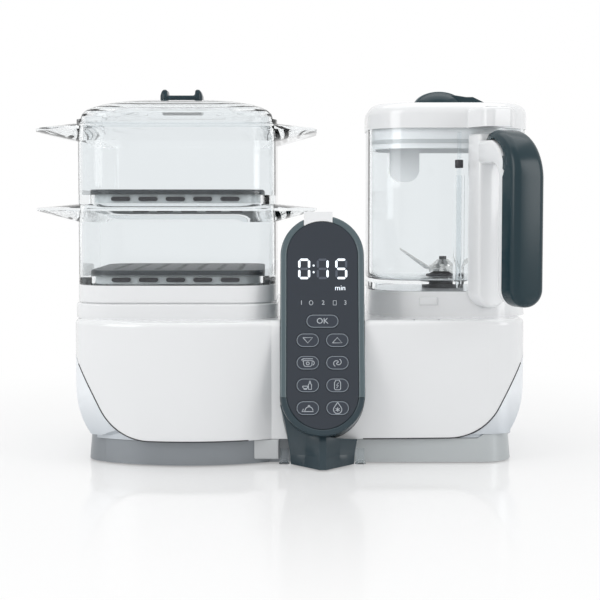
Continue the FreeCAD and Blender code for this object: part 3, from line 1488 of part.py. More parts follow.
def make_blade_set():
    """Four steel blades on a hub, two up and two down."""
    level = "jug_floor + jug_floor_thick + 7"
    hub = turned("BladeHub", [("blade_shaft_radius", "%s - 1.6" % level),
                              ("hub_radius", "%s - 1.6" % level),
                              ("hub_radius", "%s + 4" % level), ("4.5", "%s + 8" % level),
                              ("blade_shaft_radius", "%s + 8" % level)])
    bore = cylinder("HubBore", "blade_shaft_radius", "blade_rise * 3", "0", "0", "%s - blade_rise" % level)
    blades = [blade("BladeA", 20, True, level), blade("BladeB", 200, True, level),
              blade("BladeC", 110, False, "%s + 1.6" % level),
              blade("BladeD", 290, False, "%s + 1.6" % level)]
    keep(jug(cut("BladeSet", joined("BladeWhole", [hub] + blades), bore)), "blade_set")


def handle_turn_in(thing):
    """Swing a handle piece from its own X axis to its place round the jug."""
    turn(thing, (0, 0, 1), "handle_turn")
    return jug(thing)


def make_handle():
    """Hooked handle: a white spine and inner grip in one piece, and a slate cover on the grip."""
    shoulder = "handle_start + spine_thick + 1"
    core_outline = [("handle_start", "spine_foot", "4"), ("spine_out", "spine_foot", "4"),
                    ("spine_out", "handle_top - bridge_drop", "6"),
                    ("grip_in", "handle_top - bridge_drop", "8"),
                    ("grip_in", "grip_foot + 3", "2"), ("grip_split - seam", "grip_foot + 1", "2"),
                    ("grip_split - seam", "handle_top - 7 - seam", "12"),
                    ("%s - seam" % shoulder, "handle_top - 3 - seam"),
                    ("%s - seam" % shoulder, "handle_top"),
                    ("handle_start", "handle_top")]
    core = across("HandleCore", lambda s: draw(s, core_outline), "handle_width - 2")
    face = value("handle_width - 2") / 2
    soften(core, lambda edge: abs(abs(edge.CenterOfMass.y) - face) < 0.01, "1.2")
    bores = handle_screws("ScrewBore", "screw_radius + turn_clearance")
    round_jug = slab("HandleJugTool", lambda s: jug_box(s, "0.1"), "deck_height", "jug_top")
    fitted = cut("HandleCoreFitted", handle_turn_in(cut("HandleCoreBored", core, bores)), jug(round_jug))
    keep(fitted, "handle_core")
    cover_outline = [("grip_split", "grip_foot"), ("grip_out", "grip_foot + 2", "8"),
                     ("grip_out", "handle_top - 4", "grip_round * 0.8"), (shoulder, "handle_top + 4"),
                     (shoulder, "handle_top - 3"), ("grip_split", "handle_top - 7", "12")]
    cover = across("GripCover", lambda s: draw(s, cover_outline), "handle_width")
    face = value("handle_width") / 2
    inner, top = value("grip_split"), value("handle_top")
    soften(cover, lambda edge: abs(abs(edge.CenterOfMass.y) - face) < 0.01
           and (edge.CenterOfMass.x > inner + 1 or edge.BoundBox.ZMax > top + 3), "grip_edge")
    keep(handle_turn_in(cover), "grip_cover")
    keep(handle_turn_in(handle_screws("HandleScrew", "screw_radius")), "handle_screws")


def handle_screws(name, radius):
    """The two screws that hold the spine to the jug, or the bores that they sit in."""
    screws = []
    for number, level in enumerate(("spine_foot + 14", "handle_top - 26")):
        screw = cylinder("%s%d" % (name, number), radius, "spine_thick / 2", "spine_out", "0", level)
        screws.append(turn(screw, (0, 1, 0), "-90"))
    return group(name + "Pair", screws)


def make_interlock_rod():
    """Thin rod beside the handle that the closed lid holds down."""
    body = turned("InterlockRod", [("0", "rod_bottom"), ("rod_radius", "rod_bottom"),
                                   ("rod_radius", "rod_head_bottom"), ("rod_head", "rod_head_bottom"),
                                   ("rod_head", "rod_head_top"), ("rod_radius", "rod_head_top"),
                                   ("rod_radius", "jug_top - rod_travel - seam"),
                                   ("0", "jug_top - rod_travel - seam")])
    keep(place(body, "jug_middle + rod_angle_x", "-(jug_reach + rod_guide - 2)"), "interlock_rod")


# Jug lid ----------------------------------------------------------------------------------------

def make_jug_lid():
    """White jug lid: rounded cap, skirt inside the jug, lobe over the handle, tongue and hinge ears."""
    cap = slab("CapBody", lambda s: jug_box(s, "-0.4"), "jug_top + 0.05", "cap_rise - 0.05")
    soften(cap, at_height("cap_top"), "cap_round")
    lobe = slab("CapLobe", lambda s: draw_box(s, "lobe_reach - 40", "lobe_width", "8",
                                              "(lobe_reach + 40) / 2"),
                "jug_top + 0.05", "lobe_top")
    soften(lobe, at_height("jug_top + 0.05 + lobe_top"), "3")
    turn(lobe, (0, 0, 1), "handle_turn")
    skirt = slab("CapSkirt", lambda s: jug_box(s, "0.6 + jug_wall + cap_fit"), "jug_top - cap_skirt",
                 "cap_skirt + 4")
    whole = joined("CapWhole", [cap, lobe, skirt])
    hollow = slab("CapHollow", lambda s: jug_box(s, "0.6 + jug_wall + cap_fit + cap_wall"),
                  "jug_top - cap_skirt - 1",
                  "cap_skirt + cap_rise - cap_wall + 1")
    soften(hollow, at_height("cap_top - cap_wall"), "cap_round - cap_wall")
    hole = cylinder("CapHole", "cap_hole", "3 * cap_wall", "0", "0", "cap_top - 2 * cap_wall")
    groove = slab("CapSealGroove", seal_outline, "jug_top - cap_skirt + 4", "cap_seal_height + 0.1")
    shell = cut("CapShell", whole, joined("CapTools", [hollow, hole]))
    grooved = cut("CapGrooved", shell, groove)
    left, right = "tongue_left", "tongue_right"
    outline = [(left, "jug_top - tongue_drop", "10"), (right, "jug_top - tongue_drop", "10"),
               (right, "cap_top - cap_wall / 2"), (left, "cap_top - cap_wall / 2")]
    tongue = across("CapTongue", lambda s: draw(s, outline), "tongue_thick")
    keep(jug(joined("JugLid", [grooved, tongue])), "jug_lid")
    band = slab("LidGasket", seal_outline, "jug_top - cap_skirt + 4.05", "cap_seal_height")
    keep(jug(band), "lid_gasket")


def seal_outline(sketch):
    """The ring that the lid's seal fills, just clear of the jug's wall."""
    jug_box(sketch, "0.6 + jug_wall + 0.15")
    jug_box(sketch, "0.6 + jug_wall + 0.15 + cap_seal_thick")


def make_lid_flap():
    """Slate flap over the lid's hole: a bowed cap with a finger tip, hinged at its left end."""
    foot = "flap_bottom"
    left, right = "flap_left", "flap_right"
    outline = [(left, foot, "1.2"), ("%s - 14" % right, foot, "4"),
               ("%s - 3" % right, "%s + 5.4" % foot, "2"),
               ("%s + 0.5" % right, "%s + 7.6" % foot, "1"),
               ("%s - 12" % right, "%s + flap_rise" % foot, "14"),
               ("%s + 12" % left, "%s + flap_rise" % foot, "16"), (left, "%s + 5" % foot, "2")]
    body = across("FlapBody", lambda s: draw(s, outline), "flap_width")
    plan = slab("FlapPlan", lambda s: draw_box(s, "(%s) - (%s) + 1" % (right, left), "flap_width", "12",
                                               "((%s) + (%s)) / 2" % (left, right)), "cap_top - 20", "60")
    stopper = ring("FlapStopper", "0.001", "cap_hole - 1.4", "cap_top - cap_wall - 2", "%s + 2" % foot)
    keep(jug(joined("LidFlap", [shared("FlapCap", body, plan), stopper])), "lid_flap")


# Build, check and write -------------------------------------------------------------------------

def build():
    """Make every sub-part."""
    make_base_shell()
    make_base_skirt()
    make_bottom_pan()
    make_feet()
    make_pan_screws()
    make_foot_block()
    make_pod_frame()
    make_pod_beak()
    make_pod_panel()
    make_keys()
    make_pod_electronics()
    make_pod_column()
    make_boiler()
    make_juice_collector()
    for name, bottom in (("lower", "collector_top"), ("upper", "lower_rim")):
        make_basket(name + "_basket", bottom)
        make_basket_floor(name + "_floor", bottom)
    make_steam_lid()
    make_lid_knob()
    make_motor()
    make_fan()
    make_couplings()
    make_jug_seat()
    make_power_board()
    make_cord_gland()
    make_jug_collar()
    make_jug_wall()
    make_bushing()
    make_blade_set()
    make_handle()
    make_interlock_rod()
    make_jug_lid()
    make_lid_flap()


def check():
    """Stop at any failed object or bad shape."""
    doc.recompute()
    for thing in doc.Objects:
        if "Invalid" in thing.State or "Error" in thing.State:
            raise ValueError("failed: " + thing.Name)
    for thing in parts:
        shape = thing.Shape
        if shape.isNull() or not shape.isValid() or not shape.Solids:
            raise ValueError("bad shape: " + thing.Label)


def write():
    """Write each sub-part to a file of its own."""
    os.makedirs("parts", exist_ok=True)
    for thing in parts:
        thing.Shape.exportStep(os.path.join("parts", thing.Label + ".step"))
        solids = thing.Shape.Solids
        print("%-18s solids %d volume %.1f" % (thing.Label, len(solids), sum(s.Volume for s in solids)))


build()
check()
write()
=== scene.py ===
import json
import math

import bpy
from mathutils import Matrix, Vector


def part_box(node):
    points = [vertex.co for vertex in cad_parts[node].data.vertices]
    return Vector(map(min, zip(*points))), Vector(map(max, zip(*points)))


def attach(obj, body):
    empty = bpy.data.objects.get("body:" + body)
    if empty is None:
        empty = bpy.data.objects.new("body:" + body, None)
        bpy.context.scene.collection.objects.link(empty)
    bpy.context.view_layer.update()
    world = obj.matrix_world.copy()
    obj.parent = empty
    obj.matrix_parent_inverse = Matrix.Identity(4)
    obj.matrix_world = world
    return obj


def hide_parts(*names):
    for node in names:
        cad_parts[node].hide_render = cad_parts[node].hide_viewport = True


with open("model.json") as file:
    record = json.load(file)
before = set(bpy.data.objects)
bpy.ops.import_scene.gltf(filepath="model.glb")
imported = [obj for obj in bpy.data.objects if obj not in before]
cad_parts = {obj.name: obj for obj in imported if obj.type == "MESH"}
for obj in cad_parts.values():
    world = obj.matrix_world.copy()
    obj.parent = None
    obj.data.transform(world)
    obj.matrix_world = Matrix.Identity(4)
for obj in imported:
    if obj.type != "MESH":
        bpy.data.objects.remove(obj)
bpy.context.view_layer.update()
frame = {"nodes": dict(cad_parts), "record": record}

# %% [markdown]
# # A baby food maker in clear plastic, gloss white and slate
# Two clear steamer baskets stand on the left of a white base, a clear blender jug stands on the right,
# and a dark control pod leans between them. The hard pieces arrive finished from the construction
# model and keep their shapes. Here they get their finishes. The pieces that live from soft curves are
# modelled anew, the signs are drawn on the pod, and a plain white studio is built around it all.

MM = 0.001

# %% [markdown]
# ## The camera
# The object is seen from a little over a metre through a long lens, almost level, so that upright walls
# stay upright. The camera looks down by less than four degrees, from the height of the baskets.

# %% Camera
CAMERA_DISTANCE = 1.2
CAMERA_HEIGHT = 0.1973
CAMERA_PITCH = math.radians(3.714)
LENS = 87.8


def add_camera():
    """Stand the camera in front of the object, looking to the back."""
    data = bpy.data.cameras.new("picture_camera")
    data.lens = LENS
    camera = bpy.data.objects.new("picture_camera", data)
    camera.location = (0, -CAMERA_DISTANCE, CAMERA_HEIGHT)
    camera.rotation_euler = (math.pi / 2 - CAMERA_PITCH, 0, 0)
    bpy.context.scene.collection.objects.link(camera)
    bpy.context.scene.camera = camera
    return camera


print("camera at", tuple(add_camera().location))

# %% [markdown]
# ## Studio light
# Gloss plastic shows what it reflects, so it is lit by large soft boxes and not by small lamps: one
# wide box overhead, one from the left front and a weaker one from the right. The world is an even pale
# grey that gives the object a plain level of light, but the camera, mirrors and glass see it as white,
# so that the ground stays clean white.

# %% Light
MIDDLE = (0, 0, 0.14)
SOFT_BOXES = (
    ("overhead_box", (0, 0.1, 1.3), (1.6, 1.1), 6.4),
    ("left_box", (-1.2, -0.9, 0.7), (0.7, 1.0), 6.5),
    ("right_box", (1.3, -0.7, 0.6), (0.5, 0.9), 4.6),
)
AMBIENT = 0.62
SEEN_IN_GLOSS = 0.9


def add_area(name, location, size, power):
    """A soft box that faces the middle of the object."""
    data = bpy.data.lights.new(name, "AREA")
    data.shape = "RECTANGLE"
    data.size, data.size_y = size
    data.energy = power
    light = bpy.data.objects.new(name, data)
    light.location = location
    light.rotation_euler = (Vector(MIDDLE) - Vector(location)).to_track_quat("-Z", "Y").to_euler()
    bpy.context.scene.collection.objects.link(light)
    return light


def add_world():
    """An even world: grey as a lamp, white where camera, gloss or glass look at it."""
    world = bpy.data.worlds.new("studio")
    bpy.context.scene.world = world
    world.use_nodes = True
    tree = world.node_tree
    background = tree.nodes["Background"]
    background.inputs["Color"].default_value = (1, 1, 1, 1)
    path = tree.nodes.new("ShaderNodeLightPath")
    through = tree.nodes.new("ShaderNodeMath")
    through.operation = "MAXIMUM"
    tree.links.new(path.outputs["Is Camera Ray"], through.inputs[0])
    tree.links.new(path.outputs["Is Transmission Ray"], through.inputs[1])
    gloss = tree.nodes.new("ShaderNodeMix")
    gloss.inputs["A"].default_value = AMBIENT
    gloss.inputs["B"].default_value = SEEN_IN_GLOSS
    tree.links.new(path.outputs["Is Glossy Ray"], gloss.inputs["Factor"])
    seen = tree.nodes.new("ShaderNodeMix")
    seen.inputs["B"].default_value = 1.0
    tree.links.new(through.outputs[0], seen.inputs["Factor"])
    tree.links.new(gloss.outputs["Result"], seen.inputs["A"])
    tree.links.new(seen.outputs["Result"], background.inputs["Strength"])


for name, location, size, power in SOFT_BOXES:
    add_area(name, location, size, power)
add_world()
bpy.context.scene.view_settings.view_transform = "Standard"
print(len(SOFT_BOXES), "soft boxes and a pale world")

# %% [markdown]
# ## Three effects that many finishes share
# Real mouldings are never one flat colour. Their tone drifts a little over the surface, their shine
# is uneven, and a fine grain breaks up reflections. That is one node group, `moulded_skin`, and each
# finish sets its own strengths. A second group, `level_blend`, turns one colour into another at a
# height or across the width: it paints shade on the silver hull, darker towards the counter where the
# hull tucks under the casing, paints the plinth darker on its shaded left than on its lit right, and
# gives the basket floors their two tones. A third, `brushed_lines`, draws the fine turning lines of
# bowls and blades.
# The groups only give out colours and values, and the shader itself stays in each material.

# %% Node group helpers
def new_group(name, inputs, outputs):
    """An empty shader group with named sockets; returns its tree and its two end nodes."""
    tree = bpy.data.node_groups.new(name, "ShaderNodeTree")
    kinds = {"value": "NodeSocketFloat", "colour": "NodeSocketColor", "vector": "NodeSocketVector"}
    for label, kind in inputs:
        tree.interface.new_socket(name=label, in_out="INPUT", socket_type=kinds[kind])
    for label, kind in outputs:
        tree.interface.new_socket(name=label, in_out="OUTPUT", socket_type=kinds[kind])
    return tree, tree.nodes.new("NodeGroupInput"), tree.nodes.new("NodeGroupOutput")


def math_node(tree, operation, first, second=None, third=None):
    """A Math node fed by sockets or plain numbers; returns its output."""
    node = tree.nodes.new("ShaderNodeMath")
    node.operation = operation
    for socket, source in zip(node.inputs, (first, second, third)):
        if isinstance(source, (int, float)):
            socket.default_value = source
        elif source is not None:
            tree.links.new(source, socket)
    return node.outputs[0]


def noise_node(tree, place, scale, detail=2.0):
    """A noise that reads a place; scale is a number or a socket; returns its value."""
    node = tree.nodes.new("ShaderNodeTexNoise")
    node.inputs["Detail"].default_value = detail
    tree.links.new(place, node.inputs["Vector"])
    if isinstance(scale, (int, float)):
        node.inputs["Scale"].default_value = scale
    else:
        tree.links.new(scale, node.inputs["Scale"])
    return node.outputs["Fac"]


def mix_colours(tree, factor, first, second):
    """A colour mix fed by sockets; returns its result."""
    node = tree.nodes.new("ShaderNodeMix")
    node.data_type = "RGBA"
    node.clamp_factor = True
    for label, source in (("Factor", factor), ("A", first), ("B", second)):
        socket = next(s for s in node.inputs if s.name == label and s.enabled)
        tree.links.new(source, socket)
    return next(s for s in node.outputs if s.enabled)


def scaled_colour(tree, colour, share):
    """A colour made lighter or darker; returns its result."""
    node = tree.nodes.new("ShaderNodeVectorMath")
    node.operation = "SCALE"
    tree.links.new(colour, node.inputs[0])
    tree.links.new(share, node.inputs["Scale"])
    return node.outputs["Vector"]


print("node helpers ready")

# %% Shared groups
LINE_STRETCH = (20, 20, 1500)


def build_moulded_skin():
    """Tone drift, uneven shine and a fine grain for moulded and painted pieces."""
    tree, start, end = new_group(
        "moulded_skin",
        (("Place", "vector"), ("Colour", "colour"), ("Tone Drift", "value"), ("Roughness", "value"),
         ("Shine Drift", "value"), ("Drift Scale", "value"), ("Grain Scale", "value")),
        (("Colour", "colour"), ("Roughness", "value"), ("Height", "value")))
    drift = noise_node(tree, start.outputs["Place"], start.outputs["Drift Scale"])
    centred = math_node(tree, "SUBTRACT", drift, 0.5)
    tone = math_node(tree, "MULTIPLY_ADD", centred, start.outputs["Tone Drift"], 1.0)
    tree.links.new(scaled_colour(tree, start.outputs["Colour"], tone), end.inputs["Colour"])
    fine = noise_node(tree, start.outputs["Place"], start.outputs["Grain Scale"], 1.0)
    mixed = math_node(tree, "ADD", centred, math_node(tree, "MULTIPLY_ADD", fine, 0.5, -0.25))
    rough = math_node(tree, "MULTIPLY_ADD", mixed, start.outputs["Shine Drift"],
                      start.outputs["Roughness"])
    tree.links.new(rough, end.inputs["Roughness"])
    tree.links.new(fine, end.inputs["Height"])
    return tree


def build_level_blend():
    """One colour below a height and another above it, over a given width."""
    tree, start, end = new_group(
        "level_blend",
        (("Place", "vector"), ("Below", "colour"), ("Above", "colour"), ("Level", "value"),
         ("Width", "value")),
        (("Colour", "colour"),))
    split = tree.nodes.new("ShaderNodeSeparateXYZ")
    tree.links.new(start.outputs["Place"], split.inputs[0])
    over = math_node(tree, "SUBTRACT", split.outputs["Z"], start.outputs["Level"])
    mask = math_node(tree, "ADD", math_node(tree, "DIVIDE", over, start.outputs["Width"]), 0.5)
    blended = mix_colours(tree, mask, start.outputs["Below"], start.outputs["Above"])
    tree.links.new(blended, end.inputs["Colour"])
    return tree


def build_brushed_lines():
    """Fine lines round an upright axis, as turning or brushing leaves them."""
    tree, start, end = new_group(
        "brushed_lines",
        (("Place", "vector"), ("Colour", "colour"), ("Roughness", "value"), ("Contrast", "value")),
        (("Colour", "colour"), ("Roughness", "value"), ("Height", "value")))
    stretch = tree.nodes.new("ShaderNodeVectorMath")
    stretch.operation = "MULTIPLY"
    stretch.inputs[1].default_value = LINE_STRETCH
    tree.links.new(start.outputs["Place"], stretch.inputs[0])
    lines = noise_node(tree, stretch.outputs["Vector"], 1.0, 3.0)
    centred = math_node(tree, "SUBTRACT", lines, 0.5)
    tone = math_node(tree, "MULTIPLY_ADD", centred, start.outputs["Contrast"], 1.0)
    tree.links.new(scaled_colour(tree, start.outputs["Colour"], tone), end.inputs["Colour"])
    rough = math_node(tree, "MULTIPLY_ADD", centred, start.outputs["Contrast"],
                      start.outputs["Roughness"])
    tree.links.new(rough, end.inputs["Roughness"])
    tree.links.new(lines, end.inputs["Height"])
    return tree


BUILDERS = (build_moulded_skin, build_level_blend, build_brushed_lines)
GROUPS = {tree.name: tree for tree in (build() for build in BUILDERS)}
print("groups", sorted(GROUPS))

# %% [markdown]
# ## The finishes
# Every finish is a Principled shader fed by one of the groups. White gloss mouldings have a clear
# sharp shine over a body that is not quite white. The silver hull is satin paint, painted darker
# towards the counter as shade where it tucks under the casing.
# Slate pieces are soft gloss, the face of the pod is polished, its keys are a little duller, and rubber
# is nearly matte. What does not change over the surface, such as metal or coat, is set on the shader.

# %% Material builder
GRAIN_DEPTH = 0.00002


def add_group(tree, name, place, **values):
    """Place a shared group in a material and set its inputs."""
    node = tree.nodes.new("ShaderNodeGroup")
    node.node_tree = GROUPS[name]
    tree.links.new(place, node.inputs["Place"])
    for label, value in values.items():
        socket = node.inputs[label.replace("_", " ")]
        if isinstance(value, bpy.types.NodeSocket):
            tree.links.new(value, socket)
        else:
            socket.default_value = (*value, 1) if isinstance(value, tuple) else value
    return node


def start_material(name):
    """A material with its shader and the object's own coordinates."""
    material = bpy.data.materials.new(name)
    material.use_nodes = True
    tree = material.node_tree
    place = tree.nodes.new("ShaderNodeTexCoord").outputs["Object"]
    return material, tree, tree.nodes["Principled BSDF"], place


def feed_shader(tree, shader, group, relief):
    """Join a group's colour, roughness and height to the shader."""
    tree.links.new(group.outputs["Colour"], shader.inputs["Base Color"])
    tree.links.new(group.outputs["Roughness"], shader.inputs["Roughness"])
    if relief:
        bump = tree.nodes.new("ShaderNodeBump")
        bump.inputs["Strength"].default_value = relief
        bump.inputs["Distance"].default_value = GRAIN_DEPTH
        tree.links.new(group.outputs["Height"], bump.inputs["Height"])
        tree.links.new(bump.outputs["Normal"], shader.inputs["Normal"])


def skin(name, colour, rough, tone=0.04, shine=0.05, drift=14.0, grain=1200.0, relief=0.2, metal=0.0,
         coat=0.0, above=None, level=0.0, width=0.001, sideways=False, glow=0.0, gloss=0.5):
    """A moulded or painted finish; another colour can lie above a level, or to the right of it."""
    material, tree, shader, place = start_material(name)
    source = colour
    if above:
        measured = place
        if sideways:
            turn = tree.nodes.new("ShaderNodeMapping")
            turn.inputs["Rotation"].default_value = (0, -math.pi / 2, 0)
            tree.links.new(place, turn.inputs["Vector"])
            measured = turn.outputs["Vector"]
        blend = add_group(tree, "level_blend", measured, Below=colour, Above=above, Level=level,
                          Width=width)
        source = blend.outputs["Colour"]
    group = add_group(tree, "moulded_skin", place, Colour=source, Tone_Drift=tone, Roughness=rough,
                      Shine_Drift=shine, Drift_Scale=drift, Grain_Scale=grain)
    feed_shader(tree, shader, group, relief)
    shader.inputs["Metallic"].default_value = metal
    shader.inputs["Coat Weight"].default_value = coat
    shader.inputs["Coat Roughness"].default_value = 0.03
    shader.inputs["Specular IOR Level"].default_value = gloss
    if glow:
        tree.links.new(group.outputs["Colour"], shader.inputs["Emission Color"])
        shader.inputs["Emission Strength"].default_value = glow
    return material


def turned_metal(name, colour, rough, contrast=0.3, metal=1.0):
    """A metal with fine lines round its axis."""
    material, tree, shader, place = start_material(name)
    group = add_group(tree, "brushed_lines", place, Colour=colour, Roughness=rough, Contrast=contrast)
    feed_shader(tree, shader, group, 0.3)
    shader.inputs["Metallic"].default_value = metal
    return material


def clear(name, colour, rough, ior):
    """Clear plastic that lamps shine through; its low bend keeps stacked walls bright."""
    material, tree, shader, place = start_material(name)
    group = add_group(tree, "moulded_skin", place, Colour=colour, Tone_Drift=0.015, Roughness=rough,
                      Shine_Drift=0.02, Drift_Scale=30.0, Grain_Scale=600.0)
    feed_shader(tree, shader, group, 0)
    shader.inputs["Transmission Weight"].default_value = 1.0
    shader.inputs["IOR"].default_value = ior
    shader.inputs["Coat Weight"].default_value = 0.35
    shader.inputs["Coat Roughness"].default_value = 0.02
    path = tree.nodes.new("ShaderNodeLightPath")
    open_air = tree.nodes.new("ShaderNodeBsdfTransparent")
    mix = tree.nodes.new("ShaderNodeMixShader")
    tree.links.new(path.outputs["Is Shadow Ray"], mix.inputs["Fac"])
    tree.links.new(shader.outputs["BSDF"], mix.inputs[1])
    tree.links.new(open_air.outputs["BSDF"], mix.inputs[2])
    tree.links.new(mix.outputs["Shader"], tree.nodes["Material Output"].inputs["Surface"])
    return material


print("finish builders ready")

# %% Finishes
WHITE = (0.85, 0.86, 0.87)
SLATE = (0.075, 0.112, 0.127)
DEEP_SLATE = (0.010, 0.031, 0.041)
# Painted shade: the beak's slate is the pod's slate made darker, for the shade under the pod.
SHADED_BEAK_SLATE = (0.026, 0.046, 0.058)
PANEL = (0.01, 0.018, 0.031)
FLOOR_PLATE = (0.022, 0.028, 0.033)
FLOOR_SKIRT = (0.5, 0.53, 0.54)
# Painted light and shade: the plinth is one silver paint, painted darker on its left stretch and
# lighter on its right, as the light falls on it.
SHADED_LEFT_PLINTH = (0.26, 0.28, 0.3)
LIT_RIGHT_PLINTH = (0.5, 0.53, 0.54)
FINISH = {
    "white_gloss": skin("white_gloss", WHITE, 0.16, tone=0.02, coat=0.4),
    # Painted shade: the silver hull is darker towards the counter, where it tucks under the casing.
    "silver_skirt": skin("silver_skirt", (0.5, 0.54, 0.58), 0.3, tone=0.05, relief=0.1, metal=0.2,
                         above=(0.9, 0.93, 0.96), level=0.034, width=0.04),
    # Painted light and shade: the same plinth, darker on the left and lighter on the right.
    "grey_plinth": skin("grey_plinth", SHADED_LEFT_PLINTH, 0.3, tone=0.06, metal=0.25, relief=0.1,
                        above=LIT_RIGHT_PLINTH, level=0.01, width=0.02, sideways=True),
    "light_plinth": skin("light_plinth", (0.6, 0.62, 0.63), 0.3, tone=0.05, metal=0.2, relief=0.1),
    "slate_plastic": skin("slate_plastic", SLATE, 0.24, coat=0.3, relief=0.1),
    "dark_panel": skin("dark_panel", PANEL, 0.12, tone=0.08, coat=0.3, relief=0.0),
    "key_grey": skin("key_grey", (0.026, 0.034, 0.05), 0.3, relief=0.3),
    "clear_plastic": clear("clear_plastic", (0.89, 0.912, 0.922), 0.02, 1.13),
    "dark_floor": skin("dark_floor", FLOOR_PLATE, 0.4),
    "black_rubber": skin("black_rubber", (0.02, 0.02, 0.022), 0.7, shine=0.1, relief=0.4),
    "silicone": skin("silicone", (0.55, 0.57, 0.58), 0.5, shine=0.08),
    "steel": turned_metal("steel", (0.66, 0.66, 0.65), 0.24),
    "iron": turned_metal("iron", (0.22, 0.21, 0.2), 0.5, metal=0.8),
    "dark_plastic": skin("dark_plastic", (0.03, 0.031, 0.036), 0.4),
    "circuit_board": skin("circuit_board", (0.02, 0.16, 0.07), 0.4, tone=0.3, drift=120.0),
}
DARK_SLATE = skin("slate_deep", DEEP_SLATE, 0.22, relief=0.1, gloss=0.35)
SHADED_BEAK_FINISH = skin("slate_beak_shaded", SHADED_BEAK_SLATE, 0.26, relief=0.1, gloss=0.4)
print(len(FINISH), "finishes and two darker slates")

# %% Finishes on the construction's pieces
PLATE_THICK = 4.0
for part in frame["record"]["subparts"]:
    node = frame["nodes"][part["node"]]
    node.data.materials.clear()
    node.data.materials.append(FINISH[part["material_slot"]])
# The beak is painted darker than the rest of the pod's slate, as shade where it sits low under the pod.
frame["nodes"]["pod_beak"].data.materials[0] = SHADED_BEAK_FINISH
for name in ("lower_floor", "upper_floor"):
    low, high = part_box(name)
    plate_foot = high.z - PLATE_THICK * MM
    two_tone = skin(name + "_two_tone", FLOOR_SKIRT, 0.4, above=FLOOR_PLATE, level=plate_foot,
                    width=0.0006)
    frame["nodes"][name].data.materials[0] = two_tone

# %% [markdown]
# ## The counter
# The object stands on a white counter with a soft sheen. Close to the object the counter is a real
# surface that takes the shadow and mirrors the base; farther out it melts into the white ground, so no
# horizon shows. The melt is a ring of distance round the object, and only the camera sees it.

# %% Counter
NEAR, FAR = 0.12, 0.62
NEAR_SHARE = 0.34


def counter_material():
    """White sheen near the object that turns into plain white far from it."""
    material, tree, shader, place = start_material("counter_white")
    group = add_group(tree, "moulded_skin", place, Colour=(0.9, 0.905, 0.91), Tone_Drift=0.01,
                      Roughness=0.09, Shine_Drift=0.02, Drift_Scale=3.0, Grain_Scale=300.0)
    feed_shader(tree, shader, group, 0)
    distance = tree.nodes.new("ShaderNodeVectorMath")
    distance.operation = "LENGTH"
    tree.links.new(place, distance.inputs[0])
    ramp = tree.nodes.new("ShaderNodeMapRange")
    ramp.interpolation_type = "SMOOTHSTEP"
    span = {"From Min": NEAR, "From Max": FAR, "To Min": NEAR_SHARE, "To Max": 1.0}
    for label, value in span.items():
        ramp.inputs[label].default_value = value
    tree.links.new(distance.outputs["Value"], ramp.inputs["Value"])
    path = tree.nodes.new("ShaderNodeLightPath")
    seen = math_node(tree, "MAXIMUM", path.outputs["Is Camera Ray"],
                     path.outputs["Is Transmission Ray"])
    share = math_node(tree, "MULTIPLY", ramp.outputs["Result"], seen)
    white = tree.nodes.new("ShaderNodeEmission")
    mix = tree.nodes.new("ShaderNodeMixShader")
    tree.links.new(share, mix.inputs["Fac"])
    tree.links.new(shader.outputs["BSDF"], mix.inputs[1])
    tree.links.new(white.outputs["Emission"], mix.inputs[2])
    tree.links.new(mix.outputs["Shader"], tree.nodes["Material Output"].inputs["Surface"])
    return material


def add_counter():
    """A wide flat counter under the feet."""
    bpy.ops.mesh.primitive_plane_add(size=8, location=(0, 0, 0))
    counter = bpy.context.object
    counter.name = "counter_top"
    counter.data.materials.append(counter_material())
    return counter


print("counter", add_counter().name)

# %% [markdown]
# ## Tools for new pieces
# A new piece starts as a plain block, disc or ball and is shaped in edit mode. Before any operator
# runs, everything is deselected, and then faces or edges are picked by where they lie. A finished
# piece keeps its place in its mesh, rides on a moving body of the construction and takes its finish
# from a named material slot, unless a finish of its own is given.

# %% Picking and editing
def clear_selection():
    """Leave edit mode and select nothing."""
    if bpy.context.object and bpy.context.object.mode != "OBJECT":
        bpy.ops.object.mode_set(mode="OBJECT")
    bpy.ops.object.select_all(action="DESELECT")


def take(piece):
    """Select one piece alone and make it active."""
    clear_selection()
    piece.select_set(True)
    bpy.context.view_layer.objects.active = piece


def open_with(piece, kind, test=None):
    """Open a piece for editing with the faces or edges picked by a test; all of them without one."""
    take(piece)
    bpy.ops.object.mode_set(mode="EDIT")
    bpy.ops.mesh.select_mode(type=kind)
    bpy.ops.mesh.select_all(action="DESELECT" if test else "SELECT")
    if not test:
        return
    bpy.ops.object.mode_set(mode="OBJECT")
    mesh = piece.data
    corners = mesh.vertices
    if kind == "FACE":
        for face in mesh.polygons:
            face.select = test(face.center / MM, face.normal)
    else:
        for edge in mesh.edges:
            first, second = (corners[index].co / MM for index in edge.vertices)
            edge.select = test((first + second) / 2, second - first)
    bpy.ops.object.mode_set(mode="EDIT")


def close_up():
    """Merge doubles, turn the faces outwards and leave edit mode."""
    bpy.ops.mesh.select_all(action="SELECT")
    bpy.ops.mesh.remove_doubles(threshold=0.000005)
    bpy.ops.mesh.normals_make_consistent(inside=False)
    bpy.ops.object.mode_set(mode="OBJECT")


def settle(piece, matrix=None):
    """Put a piece's place into its mesh, after a placing matrix if one is given."""
    if matrix:
        piece.matrix_world = matrix @ piece.matrix_world
    take(piece)
    bpy.ops.object.transform_apply(location=True, rotation=True, scale=True)
    return piece


def block(name, low, high):
    """A block between two corners in millimetres."""
    clear_selection()
    low, high = Vector(low), Vector(high)
    bpy.ops.mesh.primitive_cube_add(size=1, location=(low + high) / 2 * MM)
    piece = bpy.context.object
    piece.name = name
    piece.scale = (high - low) * MM
    return settle(piece)


